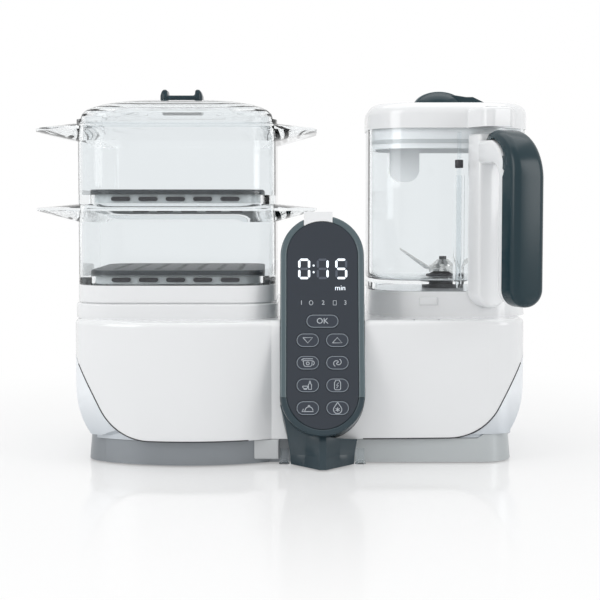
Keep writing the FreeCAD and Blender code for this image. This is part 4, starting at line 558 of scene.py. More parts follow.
def disc(name, radius, bottom, top, middle=(0, 0), sides=48):
    """An upright round block in millimetres."""
    clear_selection()
    place = (middle[0] * MM, middle[1] * MM, (top + bottom) / 2 * MM)
    bpy.ops.mesh.primitive_cylinder_add(vertices=sides, radius=radius * MM, depth=(top - bottom) * MM,
                                        location=place)
    piece = bpy.context.object
    piece.name = name
    return settle(piece)


def push(piece, test, shift, scale=None):
    """Extrude the picked faces by a shift in millimetres, and scale their end if asked."""
    open_with(piece, "FACE", test)
    bpy.ops.mesh.extrude_region_move(TRANSFORM_OT_translate={"value": Vector(shift) * MM})
    if scale:
        bpy.ops.transform.resize(value=scale)
    close_up()


def slice_at(piece, point, normal, drop_above=False):
    """Cut new edges along a plane, and drop what lies beyond it if asked."""
    open_with(piece, "FACE")
    bpy.ops.mesh.bisect(plane_co=Vector(point) * MM, plane_no=normal, clear_outer=drop_above,
                        use_fill=drop_above)
    close_up()


def round_edges(piece, test, radius, steps=6):
    """Round the picked edges by a radius in millimetres."""
    open_with(piece, "EDGE", test)
    bpy.ops.mesh.bevel(offset=radius * MM, segments=steps, affect="EDGES", clamp_overlap=True)
    close_up()


def modify(piece, kind, **settings):
    """Apply one modifier with its settings."""
    take(piece)
    modifier = piece.modifiers.new(kind.lower(), kind)
    for label, value in settings.items():
        setattr(modifier, label, value)
    bpy.ops.object.modifier_apply(modifier=modifier.name)


def dress(piece, body, slot, finish=None, smooth=35):
    """Give a finished piece its shading, its finish (the slot's, unless one is given) and its body."""
    take(piece)
    bpy.ops.object.shade_smooth_by_angle(angle=math.radians(smooth))
    piece.data.materials.clear()
    piece.data.materials.append(finish or FINISH[slot])
    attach(piece, body)
    return piece


def joined(pieces):
    """Several pieces made one, which keeps the first one's name."""
    take(pieces[0])
    for piece in pieces:
        piece.select_set(True)
    bpy.ops.object.join()
    return pieces[0]


def faces_of(piece):
    """How many faces a piece has, for the printed account."""
    return "%s: %d faces" % (piece.name, len(piece.data.polygons))


print("tools for new pieces ready")

# %% [markdown]
# ## The jug's handle
# The handle is two pieces. The white one is a broad spine on the jug and the inner half of the grip,
# joined over the top by an arch. The slate one wraps the grip from outside: it rises from a half-round
# foot, bends over the arch and thins away to a point at the spine. Each bend is carried round in short
# turns of the end face, which is thinned or thickened a little at every turn. Both are built flat, as
# if the handle stood out along X, and then swung to their place.

# %% Carrying a face round a bend
JUG_X = 117.0
HANDLE_TURN = math.radians(-66.0)
HANDLE_SWING = Matrix.Translation((JUG_X * MM, 0, 0)) @ Matrix.Rotation(HANDLE_TURN, 4, "Z")
SPINE_IN, SPINE_OUT, SPINE_FOOT, HANDLE_TOP = 60.0, 79.2, 118.0, 252.0
GRIP_IN, GRIP_SPLIT, GRIP_OUT, GRIP_FOOT = 105.2, 112.9, 130.2, 121.0
BEND_X, BEND_Z = 94.2, 218.0
BEND_MIDDLE = Vector((BEND_X, 0, BEND_Z)) * MM
CORE_HALF, COVER_HALF = 13.0, 14.0
TURNS = 14


def along_x(way):
    """True for an edge that runs along X."""
    return abs(way.x) > 1 and abs(way.y) + abs(way.z) < 0.5


def along_y(way):
    """True for an edge that runs along Y."""
    return abs(way.y) > 1 and abs(way.x) + abs(way.z) < 0.5


def reach(point):
    """How far a point is from the bend's middle."""
    return math.hypot(point.x - BEND_X, point.z - BEND_Z)


def carry_round(piece, kept_reach, thick, end_thick, narrowing):
    """Carry the top face a quarter turn round the bend and let its thickness grow or shrink."""
    growth = (end_thick / thick) ** (1 / TURNS)
    width = narrowing ** (1 / TURNS)
    open_with(piece, "FACE", lambda c, n: n.z > 0.9 and c.z > BEND_Z - 1)
    for turn in range(1, TURNS + 1):
        angle = math.pi / 2 * turn / TURNS
        bpy.ops.mesh.extrude_region_move(TRANSFORM_OT_translate={"value": (0, 0, 0)})
        bpy.ops.transform.rotate(value=BEND_SIGN * math.pi / 2 / TURNS, orient_axis="Y",
                                 center_override=BEND_MIDDLE)
        kept = Vector((BEND_X + kept_reach * math.cos(angle), 0,
                       BEND_Z + kept_reach * math.sin(angle)))
        bpy.ops.transform.resize(value=(growth, width, growth), center_override=kept * MM)
    close_up()


def bend_direction():
    """Which sign of turn carries +X to +Z, tried on a small block."""
    probe = block("probe", (BEND_X + 4, -1, BEND_Z - 2), (BEND_X + 6, 1, BEND_Z))
    open_with(probe, "FACE")
    bpy.ops.transform.rotate(value=math.pi / 2, orient_axis="Y", center_override=BEND_MIDDLE)
    bpy.ops.object.mode_set(mode="OBJECT")
    up = max(corner.co.z for corner in probe.data.vertices) / MM > BEND_Z + 3
    bpy.data.objects.remove(probe)
    return 1 if up else -1


BEND_SIGN = bend_direction()
print("bend sign", BEND_SIGN)

# %% White spine, arch and inner grip
ARCH_THICK, ARCH_SINK = 17.5, 4
CORE_FOOT_ROUND, CORE_EDGE = CORE_HALF - 0.4, 2.6
JUG_HALF_WIDE, JUG_HALF_DEEP, JUG_CORNER = 63, 62, 40.0
JUG_CUT_LOW, JUG_CUT_HIGH = 100, 270


def at_bend_end(c, n):
    """True for the end face that a bend leaves, looking back to the jug."""
    return n.x < -0.9 and c.z > BEND_Z + 5


def soften(piece, width, sharpness):
    """Round every edge sharper than an angle in degrees by a width in millimetres."""
    modify(piece, "BEVEL", width=width * MM, segments=4, limit_method="ANGLE",
           angle_limit=math.radians(sharpness))


def make_handle_core():
    """White grip that arches over to the spine, with round feet."""
    grip = block("handle_white", (GRIP_IN, -CORE_HALF, GRIP_FOOT + 1), (GRIP_SPLIT, CORE_HALF, BEND_Z))
    carry_round(grip, GRIP_IN - BEND_X, GRIP_SPLIT - GRIP_IN, ARCH_THICK, 1.0)
    push(grip, at_bend_end, (SPINE_OUT - ARCH_SINK - BEND_X, 0, 0))
    round_edges(grip, lambda m, way: along_x(way) and m.z < GRIP_FOOT + 2, CORE_FOOT_ROUND, 10)
    spine = block("spine", (SPINE_IN, -CORE_HALF, SPINE_FOOT), (SPINE_OUT, CORE_HALF, HANDLE_TOP))
    round_edges(spine, lambda m, way: along_x(way) and m.z < SPINE_FOOT + 1, CORE_FOOT_ROUND, 10)
    for part in (grip, spine):
        soften(part, CORE_EDGE, 50)
    modify(grip, "BOOLEAN", object=spine, operation="UNION", solver="EXACT")
    bpy.data.objects.remove(spine)
    return grip


def cut_free_of_jug(core):
    """Take the jug's own round away from the spine."""
    jug_block = block("jug_round", (-JUG_HALF_WIDE, -JUG_HALF_DEEP, JUG_CUT_LOW),
                      (JUG_HALF_WIDE, JUG_HALF_DEEP, JUG_CUT_HIGH))
    round_edges(jug_block, lambda m, way: abs(way.z) > 1, JUG_CORNER, 16)
    jug_block.matrix_world = Matrix.Rotation(-HANDLE_TURN, 4, "Z")
    settle(jug_block)
    modify(core, "BOOLEAN", object=jug_block, operation="DIFFERENCE", solver="EXACT")
    bpy.data.objects.remove(jug_block)


handle_white = make_handle_core()
cut_free_of_jug(handle_white)
settle(handle_white, HANDLE_SWING)
dress(handle_white, "jug", "white_gloss")
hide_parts("handle_core", "handle_screws")
print(faces_of(handle_white))

# %% Slate cover
COVER_GAP, TIP_THICK, TIP_NARROW, TIP_X = 0.3, 6.2, 0.86, 83.0
COVER_EDGE, COVER_FOOT_ROUND = 6.5, COVER_HALF - 0.3
NEAR_OUTER = GRIP_OUT - BEND_X - 1.2


def on_outer_contour(m, way):
    """True for the edges that run along both sides of the cover's outer face."""
    if m.z < BEND_Z - 1:
        return abs(m.x - GRIP_OUT) < 0.2 and abs(way.x) < 0.1
    on_tip = m.x < BEND_X and m.z > BEND_Z + NEAR_OUTER
    return abs(m.y) > 8 and abs(way.y) < 1 and (reach(m) > NEAR_OUTER or on_tip)


def make_cover():
    """Slate cover: a bar with a half-round foot that bends over to a thin tip."""
    cover = block("handle_slate", (GRIP_SPLIT + COVER_GAP, -COVER_HALF, GRIP_FOOT),
                  (GRIP_OUT, COVER_HALF, BEND_Z))
    carry_round(cover, GRIP_OUT - BEND_X, GRIP_OUT - GRIP_SPLIT - COVER_GAP, TIP_THICK, TIP_NARROW)
    push(cover, at_bend_end, (TIP_X - BEND_X, 0, -0.6), (1, 0.8, 0.6))
    round_edges(cover, lambda m, way: along_x(way) and m.z < GRIP_FOOT + 1, COVER_FOOT_ROUND, 12)
    round_edges(cover, on_outer_contour, COVER_EDGE, 6)
    return cover


handle_slate = make_cover()
settle(handle_slate, HANDLE_SWING)
dress(handle_slate, "jug", "slate_plastic", DARK_SLATE, smooth=40)
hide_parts("grip_cover")
print(faces_of(handle_slate))

# %% [markdown]
# ## Knob and flap
# The steamer lid's knob is a small slate cradle: a low saddle between two horns that lean in a little.
# The jug lid's flap is a low slate dome with a tail to lift it by and a paler line over its front.
# A ball squashed flat and cut off at its foot gives the dome; the tail is pushed out of a block.

# %% Knob
STEAM_X = -96.0
KNOB_FOOT, SADDLE, KNOB_TOP = 280.4, 285.6, 290.4
KNOB_HALF, KNOB_DEEP, HORN_IN = 17.0, 11.5, 11.0
HORN_LEAN, HORN_TAPER = 0.8, (0.62, 0.86, 1)
KNOB_CORNER, KNOB_EDGE = 4.0, 1.5


def make_knob():
    """Slate cradle with two horns."""
    knob = block("knob_cradle", (STEAM_X - KNOB_HALF, -KNOB_DEEP, KNOB_FOOT),
                 (STEAM_X + KNOB_HALF, KNOB_DEEP, SADDLE))
    for side in (-1, 1):
        slice_at(knob, (STEAM_X + side * HORN_IN, 0, 0), (1, 0, 0))
    for side in (-1, 1):
        push(knob, lambda c, n: n.z > 0.9 and side * (c.x - STEAM_X) > HORN_IN,
             (-side * HORN_LEAN, 0, KNOB_TOP - SADDLE), HORN_TAPER)
    round_edges(knob, lambda m, way: (abs(m.x - STEAM_X) > KNOB_HALF - 0.5 and m.z < SADDLE
                                      and abs(way.z) > 1), KNOB_CORNER, 5)
    soften(knob, KNOB_EDGE, 35)
    return knob


knob = dress(make_knob(), "steam_lid", "slate_plastic", DARK_SLATE)
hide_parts("lid_knob")
print(faces_of(knob))

# %% Flap
FLAP_FOOT, FLAP_TOP = 277.4, 289.2
DOME_X, DOME_HALF, DOME_DEEP = JUG_X - 4.5, 20.2, 17.0
TAIL_X = JUG_X + 33.0
TAIL_HALF, TAIL_HIGH, TAIL_EDGE = 9.5, 8.6, 1.6
TAIL_STEPS = (((10, 0, -0.8), (1, 0.94, 0.84)),
              ((5.5, 0, 0.2), (1, 0.96, 0.96)),
              ((TAIL_X - DOME_X - 27.5, 0, -2.2), (1, 0.8, 0.3)))
RING_FRONT, RING_DEEP, RING_LINE = 6.0, 14, 0.045
HOLE_STOP, STOP_FOOT = 13.4, 272.4


def make_dome():
    """Low oval dome over the lid's hole."""
    clear_selection()
    bpy.ops.mesh.primitive_uv_sphere_add(segments=64, ring_count=32, radius=1,
                                         location=(DOME_X * MM, 0, FLAP_FOOT * MM))
    dome = bpy.context.object
    dome.name = "flap_dome"
    dome.scale = (DOME_HALF * MM, DOME_DEEP * MM, (FLAP_TOP - FLAP_FOOT) * MM)
    settle(dome)
    slice_at(dome, (0, 0, FLAP_FOOT), (0, 0, -1), drop_above=True)
    return dome


def make_tail():
    """Tail that rises from the dome to a thin lip for a fingertip."""
    tail = block("flap_tail", (DOME_X, -TAIL_HALF, FLAP_FOOT),
                 (DOME_X + 12, TAIL_HALF, FLAP_FOOT + TAIL_HIGH))
    for shift, taper in TAIL_STEPS:
        push(tail, lambda c, n: n.x > 0.9, shift, taper)
    soften(tail, TAIL_EDGE, 40)
    return tail


def make_crown_ring():
    """Paler raised line that arches over the dome's front."""
    clear_selection()
    bpy.ops.mesh.primitive_torus_add(major_radius=1, minor_radius=RING_LINE, major_segments=72,
                                     minor_segments=10, rotation=(math.pi / 2, 0, 0))
    ring = settle(bpy.context.object)
    ring.name = "flap_ring"
    share = math.sqrt(1 - (RING_FRONT / DOME_DEEP) ** 2)
    ring.scale = (DOME_HALF * share * MM, RING_DEEP * MM, (FLAP_TOP - FLAP_FOOT) * share * MM)
    ring.location = (DOME_X * MM, -RING_FRONT * MM, FLAP_FOOT * MM)
    settle(ring)
    slice_at(ring, (0, 0, FLAP_FOOT), (0, 0, -1), drop_above=True)
    return ring


flap_dome = dress(make_dome(), "lid_flap", "slate_plastic", DARK_SLATE, smooth=60)
flap_tail = dress(make_tail(), "lid_flap", "slate_plastic", DARK_SLATE)
flap_ring = dress(make_crown_ring(), "lid_flap", "slate_plastic", smooth=60)
flap_stop = dress(disc("flap_stopper", HOLE_STOP, STOP_FOOT, FLAP_FOOT + 1, (JUG_X, 0)), "lid_flap",
                  "slate_plastic", DARK_SLATE)
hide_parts("lid_flap")
for piece in (flap_dome, flap_tail, flap_ring, flap_stop):
    print(faces_of(piece))

# %% [markdown]
# ## Small pieces the construction leaves plain
# Behind the seam between the white casing and the silver hull lies a dark liner, and a dark bead runs
# along the seam: both are painted shadow, so that the seam reads as a crisp dark line. The slots in
# the baskets' floors are filled with dark bars, painted shade where the slots open into the dark. The
# jug's collar carries a small raised mark for the lock, the lid has two lock signs over the handle,
# and the rod that the lid presses down wears a dark head.

# %% Hem under the hull and painted shadow bead in the seam
HEM_LOW, HEM_HIGH, HEM_HALF, HEM_DEEP, HEM_ROUND = 19.4, 24.0, 166.0, 88.0, 36.0
SWELL_X, SWELL_Y, SWELL_HEM = -85.0, 21.0, 128.2
SHADOW_LINER_DEEP = 86.0
POD_LEFT, POD_RIGHT = -38.0, 52.0
SHADOW_BEAD, SEAM_LOW, SEAM_HIGH, SEAM_FRONT = 0.5, 16.0, 84, -62


def make_hem():
    """Silver band that closes the hull against the pan."""
    hem = block("hull_hem", (-HEM_HALF, -HEM_DEEP, HEM_LOW), (HEM_HALF, HEM_DEEP, HEM_HIGH))
    round_edges(hem, lambda m, way: abs(way.z) > 1, HEM_ROUND, 14)
    return hem


def make_swell_hem():
    """The same band round the swell."""
    hem = disc("swell_hem", SWELL_HEM, HEM_LOW, HEM_HIGH, (SWELL_X, SWELL_Y), sides=160)
    slice_at(hem, (0, -SHADOW_LINER_DEEP, 0), (0, 1, 0), drop_above=True)
    return hem


def make_shadow_bead():
    """Dark bead along the casing's lower edge, from a copy of the casing's own edge: painted shadow in
    the seam.
    """
    casing = frame["nodes"]["base_shell"]
    copy = bpy.data.objects.new("seam_shadow_bead", casing.data.copy())
    bpy.context.scene.collection.objects.link(copy)
    open_with(copy, "FACE")
    close_up()
    take(copy)
    bpy.ops.object.mode_set(mode="EDIT")
    bpy.ops.mesh.select_mode(type="EDGE")
    bpy.ops.mesh.select_all(action="DESELECT")
    bpy.ops.mesh.edges_select_sharp(sharpness=math.radians(40))
    bpy.ops.object.mode_set(mode="OBJECT")
    mesh = copy.data
    for edge in mesh.edges:
        first, second = (mesh.vertices[index].co / MM for index in edge.vertices)
        middle = (first + second) / 2
        clear_of_pod = middle.x < POD_LEFT or middle.x > POD_RIGHT
        in_seam = clear_of_pod and SEAM_LOW < middle.z < SEAM_HIGH and middle.y < SEAM_FRONT
        edge.select = edge.select and in_seam and abs(second.y - first.y) < 12
    bpy.ops.object.mode_set(mode="EDIT")
    bpy.ops.mesh.select_all(action="INVERT")
    bpy.ops.mesh.delete(type="EDGE")
    bpy.ops.object.mode_set(mode="OBJECT")
    bpy.ops.object.convert(target="CURVE")
    curve = bpy.context.object
    curve.data.bevel_depth = SHADOW_BEAD * MM
    curve.data.bevel_resolution = 1
    curve.data.use_fill_caps = True
    bpy.ops.object.convert(target="MESH")
    open_with(bpy.context.object, "FACE")
    close_up()
    return bpy.context.object


for piece in (make_hem(), make_swell_hem()):
    print(faces_of(dress(piece, "base", "silver_skirt", smooth=20)))
print(faces_of(dress(make_shadow_bead(), "base", "dark_plastic")))

# %% Painted shade: dark bars in the floors' slots
SLOT_SHADE_STEP, SLOT_SHADE_HALF, SLOT_SHADE_HIGH, SLOT_SHADE_DEEP = 21.0, 7.3, 1.6, 69.9
SLOT_SHADE_DROP, SLOT_SHADE_THICK = 3.3, 1.2


def make_slot_shades(name, body):
    """Dark oval bars in the front and back slots of one floor, as painted shade in the slots."""
    low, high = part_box(name)
    level = high.z / MM - PLATE_THICK - SLOT_SHADE_DROP
    slot_shades = []
    for side in (-1, 1):
        for step in range(-2, 3):
            middle = STEAM_X + step * SLOT_SHADE_STEP
            depth = side * SLOT_SHADE_DEEP
            slot_shade = block("%s_pad" % name, (middle - SLOT_SHADE_HALF, depth - SLOT_SHADE_THICK, level - SLOT_SHADE_HIGH),
                        (middle + SLOT_SHADE_HALF, depth + SLOT_SHADE_THICK, level + SLOT_SHADE_HIGH))
            round_edges(slot_shade, lambda m, way: along_y(way), SLOT_SHADE_HIGH - 0.05, 5)
            slot_shades.append(slot_shade)
    return dress(joined(slot_shades), body, "dark_plastic")


for name in ("lower_floor", "upper_floor"):
    print(faces_of(make_slot_shades(name, name)))

# %% Lock marks, rod head and collar mark
ROD_X, ROD_Y = 123.0, -64.4
ROD_HEAD, ROD_HEAD_LOW, ROD_HEAD_HIGH = 3.2, 225.8, 232.2
MARK_LOW, MARK_HIGH = (JUG_X - 24, -62.6, 119.5), (JUG_X - 10, -60.2, 125.5)
SMALL_EDGE = 0.6
LOCK_IN, LOCK_OUT, LOCK_LOW, LOCK_HIGH = 82, 85, 271.8, 272.3
LOCK_SPANS = (("lock_sign", -10, -1), ("lock_dot", 2, 7.5))


def make_collar_mark():
    """Raised mark on the collar's front where the jug locks."""
    mark = block("collar_mark", MARK_LOW, MARK_HIGH)
    round_edges(mark, lambda m, way: m.y < -62 and not along_y(way), SMALL_EDGE, 2)
    return mark


def make_rod_head():
    """Dark head of the rod."""
    head = disc("rod_head", ROD_HEAD, ROD_HEAD_LOW, ROD_HEAD_HIGH, (ROD_X, ROD_Y), 24)
    round_edges(head, lambda m, way: abs(way.z) < 0.1, SMALL_EDGE, 2)
    return head


def make_lock_signs():
    """Two dark bars on the lid over the handle."""
    signs = [block(name, (LOCK_IN, start, LOCK_LOW), (LOCK_OUT, end, LOCK_HIGH))
             for name, start, end in LOCK_SPANS]
    return settle(joined(signs), HANDLE_SWING)


print(faces_of(dress(make_lock_signs(), "jug_lid", "slate_plastic", DARK_SLATE)))
print(faces_of(dress(make_collar_mark(), "jug", "white_gloss")))
print(faces_of(dress(make_rod_head(), "interlock_rod", "dark_plastic")))

# %% Painted shadow: dark liner behind the seam
SHADOW_LINER_LOW, SHADOW_LINER_HIGH = 17.5, 90.0
SHADOW_LINER_HALF, SHADOW_LINER_CORNER, SHADOW_LINER_FLANK = 158.0, 60.0, 38
SWELL_SHADOW_LINER_LOW, SWELL_SHADOW_LINER_HIGH = 24.5, 60
SWELL_RADIUS = 125.0


def make_shadow_liner():
    """A dark block just inside the casing, with the hull's rounded flanks: painted shadow seen through
    the seam.
    """
    shadow_liner = block("seam_shadow_liner", (-SHADOW_LINER_HALF, -SHADOW_LINER_DEEP, SHADOW_LINER_LOW),
                  (SHADOW_LINER_HALF, SHADOW_LINER_DEEP, SHADOW_LINER_HIGH))
    round_edges(shadow_liner, lambda m, way: abs(way.z) > 1, SHADOW_LINER_CORNER, 16)
    round_edges(shadow_liner, lambda m, way: (abs(m.z - SHADOW_LINER_LOW) < 0.5
                                       and abs(m.x) > SHADOW_LINER_HALF - SHADOW_LINER_CORNER - 1), SHADOW_LINER_FLANK, 8)
    return shadow_liner


def make_swell_shadow_liner():
    """The same painted shadow for the round swell in front of the steamer."""
    shadow_liner = disc("swell_shadow_liner", SWELL_RADIUS, SWELL_SHADOW_LINER_LOW, SWELL_SHADOW_LINER_HIGH, (SWELL_X, SWELL_Y),
                 sides=160)
    slice_at(shadow_liner, (0, -SHADOW_LINER_DEEP + 2, 0), (0, 1, 0), drop_above=True)
    return shadow_liner


for piece in (make_shadow_liner(), make_swell_shadow_liner()):
    print(faces_of(dress(piece, "base", "dark_plastic", smooth=20)))

# %% [markdown]
# ## Signs on the pod
# The pod's face leans back, so its signs are drawn flat, in millimetres across and up from the face's
# foot, and then laid on it. Thin strokes are curves with a round section, pressed flat. Filled shapes
# and rings are outlines with a little depth. What glows is the display: lit segments stand out from the
# faint unlit ones. Signs on a key ride on that key, so they go in with it.

# %% Drawing on the face
FACE_FOOT = Vector((17.0, -120.0, 25.8))
LEAN_UP = (0.2756, 0.9613)
PANEL_DEPTH, KEY_DEPTH = -0.6, -0.2
RAISED, STROKE, THIN_STROKE = 0.06, 0.5, 0.45
CAPITAL_SHARE = 0.7


def face_matrix(depth, middle):
    """Where a flat drawing lies on the face."""
    back, up = LEAN_UP
    turn = Matrix(((1, 0, 0), (0, back, -up), (0, up, back))).to_4x4()
    start = FACE_FOOT + turn.to_3x3() @ Vector((middle[0], middle[1], depth))
    return Matrix.Translation(start * MM) @ turn @ Matrix.Scale(MM, 4)


def to_mesh(piece, depth, middle, flatten=1.0):
    """Make a drawing a mesh and lay it on the face."""
    take(piece)
    bpy.ops.object.convert(target="MESH")
    piece = bpy.context.object
    piece.scale.z = flatten
    settle(piece)
    open_with(piece, "FACE")
    close_up()
    return settle(piece, face_matrix(depth, middle))


def new_curve(name, loops, closed, flat):
    """A curve of straight stretches through the given points."""
    data = bpy.data.curves.new(name, "CURVE")
    data.dimensions = "2D" if flat else "3D"
    for loop in loops:
        spline = data.splines.new("POLY")
        spline.points.add(len(loop) - 1)
        for point, (x, y) in zip(spline.points, loop):
            point.co = (x, y, 0, 1)
        spline.use_cyclic_u = closed
    piece = bpy.data.objects.new(name, data)
    bpy.context.scene.collection.objects.link(piece)
    return piece


def draw_lines(name, loops, depth, middle, closed=False, width=STROKE):
    """Thin strokes, pressed flat."""
    piece = new_curve(name, loops, closed, False)
    piece.data.bevel_depth = width / 2
    piece.data.bevel_resolution = 1
    piece.data.use_fill_caps = True
    return to_mesh(piece, depth, middle, 2 * RAISED / width)


def draw_patches(name, loops, depth, middle):
    """Filled shapes; a loop inside another leaves a ring."""
    piece = new_curve(name, loops, True, True)
    piece.data.fill_mode = "BOTH"
    piece.data.extrude = RAISED
    return to_mesh(piece, depth, middle)


def draw_text(name, words, height, depth, middle):
    """Letters of a given height."""
    clear_selection()
    bpy.ops.object.text_add()
    piece = bpy.context.object
    piece.name = name
    piece.data.body = words
    piece.data.size = height / CAPITAL_SHARE
    piece.data.align_x = "CENTER"
    piece.data.align_y = "CENTER"
    piece.data.extrude = RAISED
    piece.data.resolution_u = 3
    return to_mesh(piece, depth, middle)


def arc(middle, radius, start, end, steps=20, squash=1.0):
    """Points on an arc, with its angles in degrees."""
    points = []
    for step in range(steps + 1):
        angle = math.radians(start + (end - start) * step / steps)
        points.append((middle[0] + radius * math.cos(angle),
                       middle[1] + radius * squash * math.sin(angle)))
    return points


def pill(wide, high):
    """A bar with half-round ends."""
    radius = high / 2
    offset = wide / 2 - radius
    return arc((offset, 0), radius, -90, 90, 12) + arc((-offset, 0), radius, 90, 270, 12)


def shifted(loop, x, y):
    """The same points, moved."""
    return [(u + x, v + y) for u, v in loop]


LIT = skin("lit_sign", (0.86, 0.93, 1.0), 0.4, tone=0.02, relief=0.0, glow=0.6)
FAINT = skin("unlit_segment", (0.085, 0.1, 0.13), 0.35, relief=0.0)
SIGN = skin("pale_sign", (0.5, 0.54, 0.58), 0.4, relief=0.0)
KEY_LINE = skin("key_outline", (0.27, 0.31, 0.35), 0.35, relief=0.0)
print("drawing tools ready")

# %% Display
DIGIT_UP = 128.0
COLON_X, COLON_RISE, COLON_DOT = -6.6, 2.6, 0.75
MINUTES_AT, MINUTES_TALL = (13.6, 113.0), 3.9
SEGMENT_LONG, SEGMENT_TALL, SEGMENT_THICK = 6.6, 6.2, 1.75
DIGITS = ((-13.8, "abcdef"), (0.3, "bc"), (14.5, "acdfg"))


def bar(middle, wide, high):
    """A segment with pointed ends."""
    x, y = middle
    if wide > high:
        tip = high / 2
        outline = [(-wide / 2, 0), (-wide / 2 + tip, tip), (wide / 2 - tip, tip), (wide / 2, 0),
                   (wide / 2 - tip, -tip), (-wide / 2 + tip, -tip)]
    else:
        tip = wide / 2
        outline = [(0, high / 2), (tip, high / 2 - tip), (tip, -high / 2 + tip), (0, -high / 2),
                   (-tip, -high / 2 + tip), (-tip, high / 2 - tip)]
    return shifted(outline, x, y)


def segments(x, letters):
    """Outlines of the segments that the letters name."""
    side, rise, crown = 3.7, 3.75, 7.2
    places = {"a": (0, crown), "g": (0, 0), "d": (0, -crown), "b": (side, rise), "c": (side, -rise),
              "f": (-side, rise), "e": (-side, -rise)}
    loops = []
    for letter in letters:
        u, v = places[letter]
        wide, high = (SEGMENT_LONG, SEGMENT_THICK) if letter in "agd" else (SEGMENT_THICK, SEGMENT_TALL)
        loops.append(bar((x + u, v), wide, high))
    return loops


lit, unlit = [], []
for x, letters in DIGITS:
    lit += segments(x, letters)
    unlit += segments(x, [letter for letter in "abcdefg" if letter not in letters])
for rise in (-COLON_RISE, COLON_RISE):
    lit.append(arc((COLON_X, rise), COLON_DOT, 0, 345, 12))
display = [draw_patches("display_lit", lit, PANEL_DEPTH, (0, DIGIT_UP)),
           draw_patches("display_unlit", unlit, PANEL_DEPTH, (0, DIGIT_UP)),
           draw_text("display_minutes", "min", MINUTES_TALL, PANEL_DEPTH, MINUTES_AT)]
for piece, finish in zip(display, (LIT, FAINT, LIT)):
    print(faces_of(dress(piece, "base", "dark_panel", finish)))

# %% Row of levels
LEVEL_UP, LEVEL_TALL = 101.5, 3.4
for label, x in (("1", -15.9), ("2", 0.6), ("3", 17.4)):
    figure = draw_text("level_%s" % label, label, LEVEL_TALL, PANEL_DEPTH, (x, LEVEL_UP))
    dress(figure, "base", "dark_panel", SIGN)
marks = draw_lines("level_marks", [arc((-8.6, 0), 1.35, 0, 345, 20, 1.25),
                                   [(8.2, -1.7), (10.6, -1.7), (10.6, 1.7), (8.2, 1.7)]],
                   PANEL_DEPTH, (0, LEVEL_UP), closed=True, width=THIN_STROKE)
print(faces_of(dress(marks, "base", "dark_panel", SIGN)))

# %% Key outlines and signs
KEY_WIDE, KEY_HIGH, OK_WIDE, OK_HIGH = 16.6, 10.1, 24.0, 9.8
COLUMN, ROW_START, ROW_STEP, OK_UP, OK_TALL = 11.15, 20.9, 17.2, 87.2, 4.3
STAR = [[(0.0, 1.7), (0.0, -1.7)], [(1.5, 0.85), (-1.5, -0.85)], [(1.5, -0.85), (-1.5, 0.85)]]


def swirl(turn):
    """One arm of the double swirl."""
    points = []
    for step in range(25):
        share = step / 24
        angle = turn + math.pi * 1.25 * share
        points.append((3.5 * share ** 0.7 * math.cos(angle), 3.1 * share ** 0.7 * math.sin(angle)))
    return points


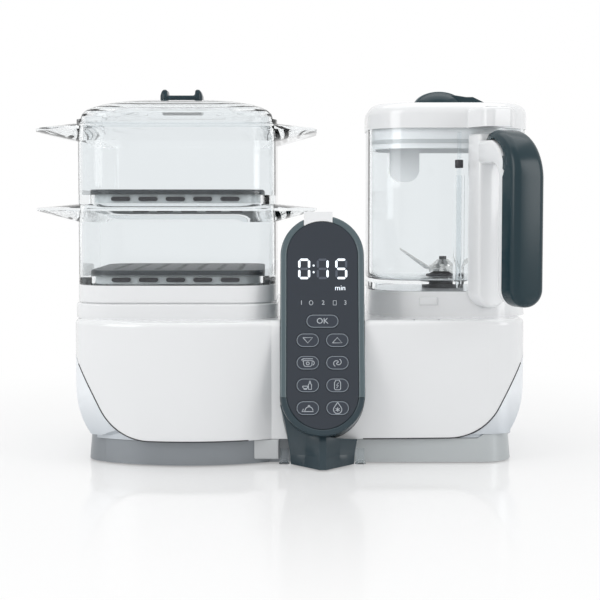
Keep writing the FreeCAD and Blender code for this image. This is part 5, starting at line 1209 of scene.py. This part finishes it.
DROP = [(0.0, 4.4)] + arc((0, -1.1), 3.1, 35, -215, 24) + [(0.0, 4.4)]
JAR = [(-2.3, 2.3), (-2.3, -2.6), (-1.6, -3.4), (1.6, -3.4), (2.3, -2.6), (2.3, 2.3), (1.5, 3.1),
       (1.5, 3.9), (-1.5, 3.9), (-1.5, 3.1), (-2.3, 2.3)]
BOTTLE = [(0.4, -3.0), (0.4, 0.4), (1.1, 1.4), (1.1, 2.3), (1.6, 3.6), (2.1, 2.3), (2.1, 1.4),
          (2.8, 0.4), (2.8, -3.0), (0.4, -3.0)]
POT = [(-3.3, 1.6), (3.3, 1.6), (3.1, -1.6), (2.2, -2.7), (-2.2, -2.7), (-3.1, -1.6), (-3.3, 1.6)]
SIGNS = {
    "down": [[(-3.6, 2.0), (3.6, 2.0), (0.0, -2.1), (-3.6, 2.0)]],
    "up": [[(-3.6, -2.0), (3.6, -2.0), (0.0, 2.1), (-3.6, -2.0)]],
    "steam": [POT, [(-3.3, 1.0), (-4.9, 2.2), (-3.3, 2.6)], arc((3.2, -0.2), 1.7, 75, -75, 12),
              [(-3.9, 3.0), (3.9, 3.0)], arc((0, -0.5), 1.1, 0, 360, 16)],
    "blend": [swirl(0.3), swirl(0.3 + math.pi)],
    "bottle": [BOTTLE, arc((-1.9, -0.6), 2.0, 180, 360, 14), [(-3.9, -0.6), (0.1, -0.6)],
               [(-3.1, -3.0), (-0.7, -3.0)]],
    "jar": [JAR, [(0.7, 2.0), (-0.8, -0.1), (0.7, -0.1), (-0.8, -2.2)]],
    "warm": [arc((0.9, -1.9), 2.9, 0, 180, 18), [(-2.6, -2.6), (4.2, -2.6)],
             arc((0.9, 1.5), 0.6, 0, 360, 10),
             [(-4.4, -2.6), (-3.4, -0.6), (-2.4, -2.6), (-4.4, -2.6)]],
    "thaw": [DROP] + [shifted(line, 0, -1.1) for line in STAR],
}
ROWS = (("warm", "thaw"), ("bottle", "jar"), ("steam", "blend"), ("down", "up"))


def ring(wide, high):
    """Two nested bars that leave a thin ring."""
    return [pill(wide, high), pill(wide - 2 * THIN_STROKE, high - 2 * THIN_STROKE)]


for row, names in enumerate(ROWS):
    for side, name in zip((-1, 1), names):
        middle = (side * COLUMN, ROW_START + ROW_STEP * row)
        body = "key_%s" % name
        outline = draw_patches("outline_%s" % name, ring(KEY_WIDE, KEY_HIGH), KEY_DEPTH, middle)
        sign = draw_lines("sign_%s" % name, SIGNS[name], KEY_DEPTH, middle)
        dress(outline, body, "key_grey", KEY_LINE)
        dress(sign, body, "key_grey", SIGN)
outline = draw_patches("outline_ok", ring(OK_WIDE, OK_HIGH), KEY_DEPTH, (0, OK_UP))
words = draw_text("sign_ok", "OK", OK_TALL, KEY_DEPTH, (0, OK_UP))
dress(outline, "key_ok", "key_grey", KEY_LINE)
dress(words, "key_ok", "key_grey", SIGN)
print(2 * len(SIGNS) + 2, "outlines and signs on the keys")
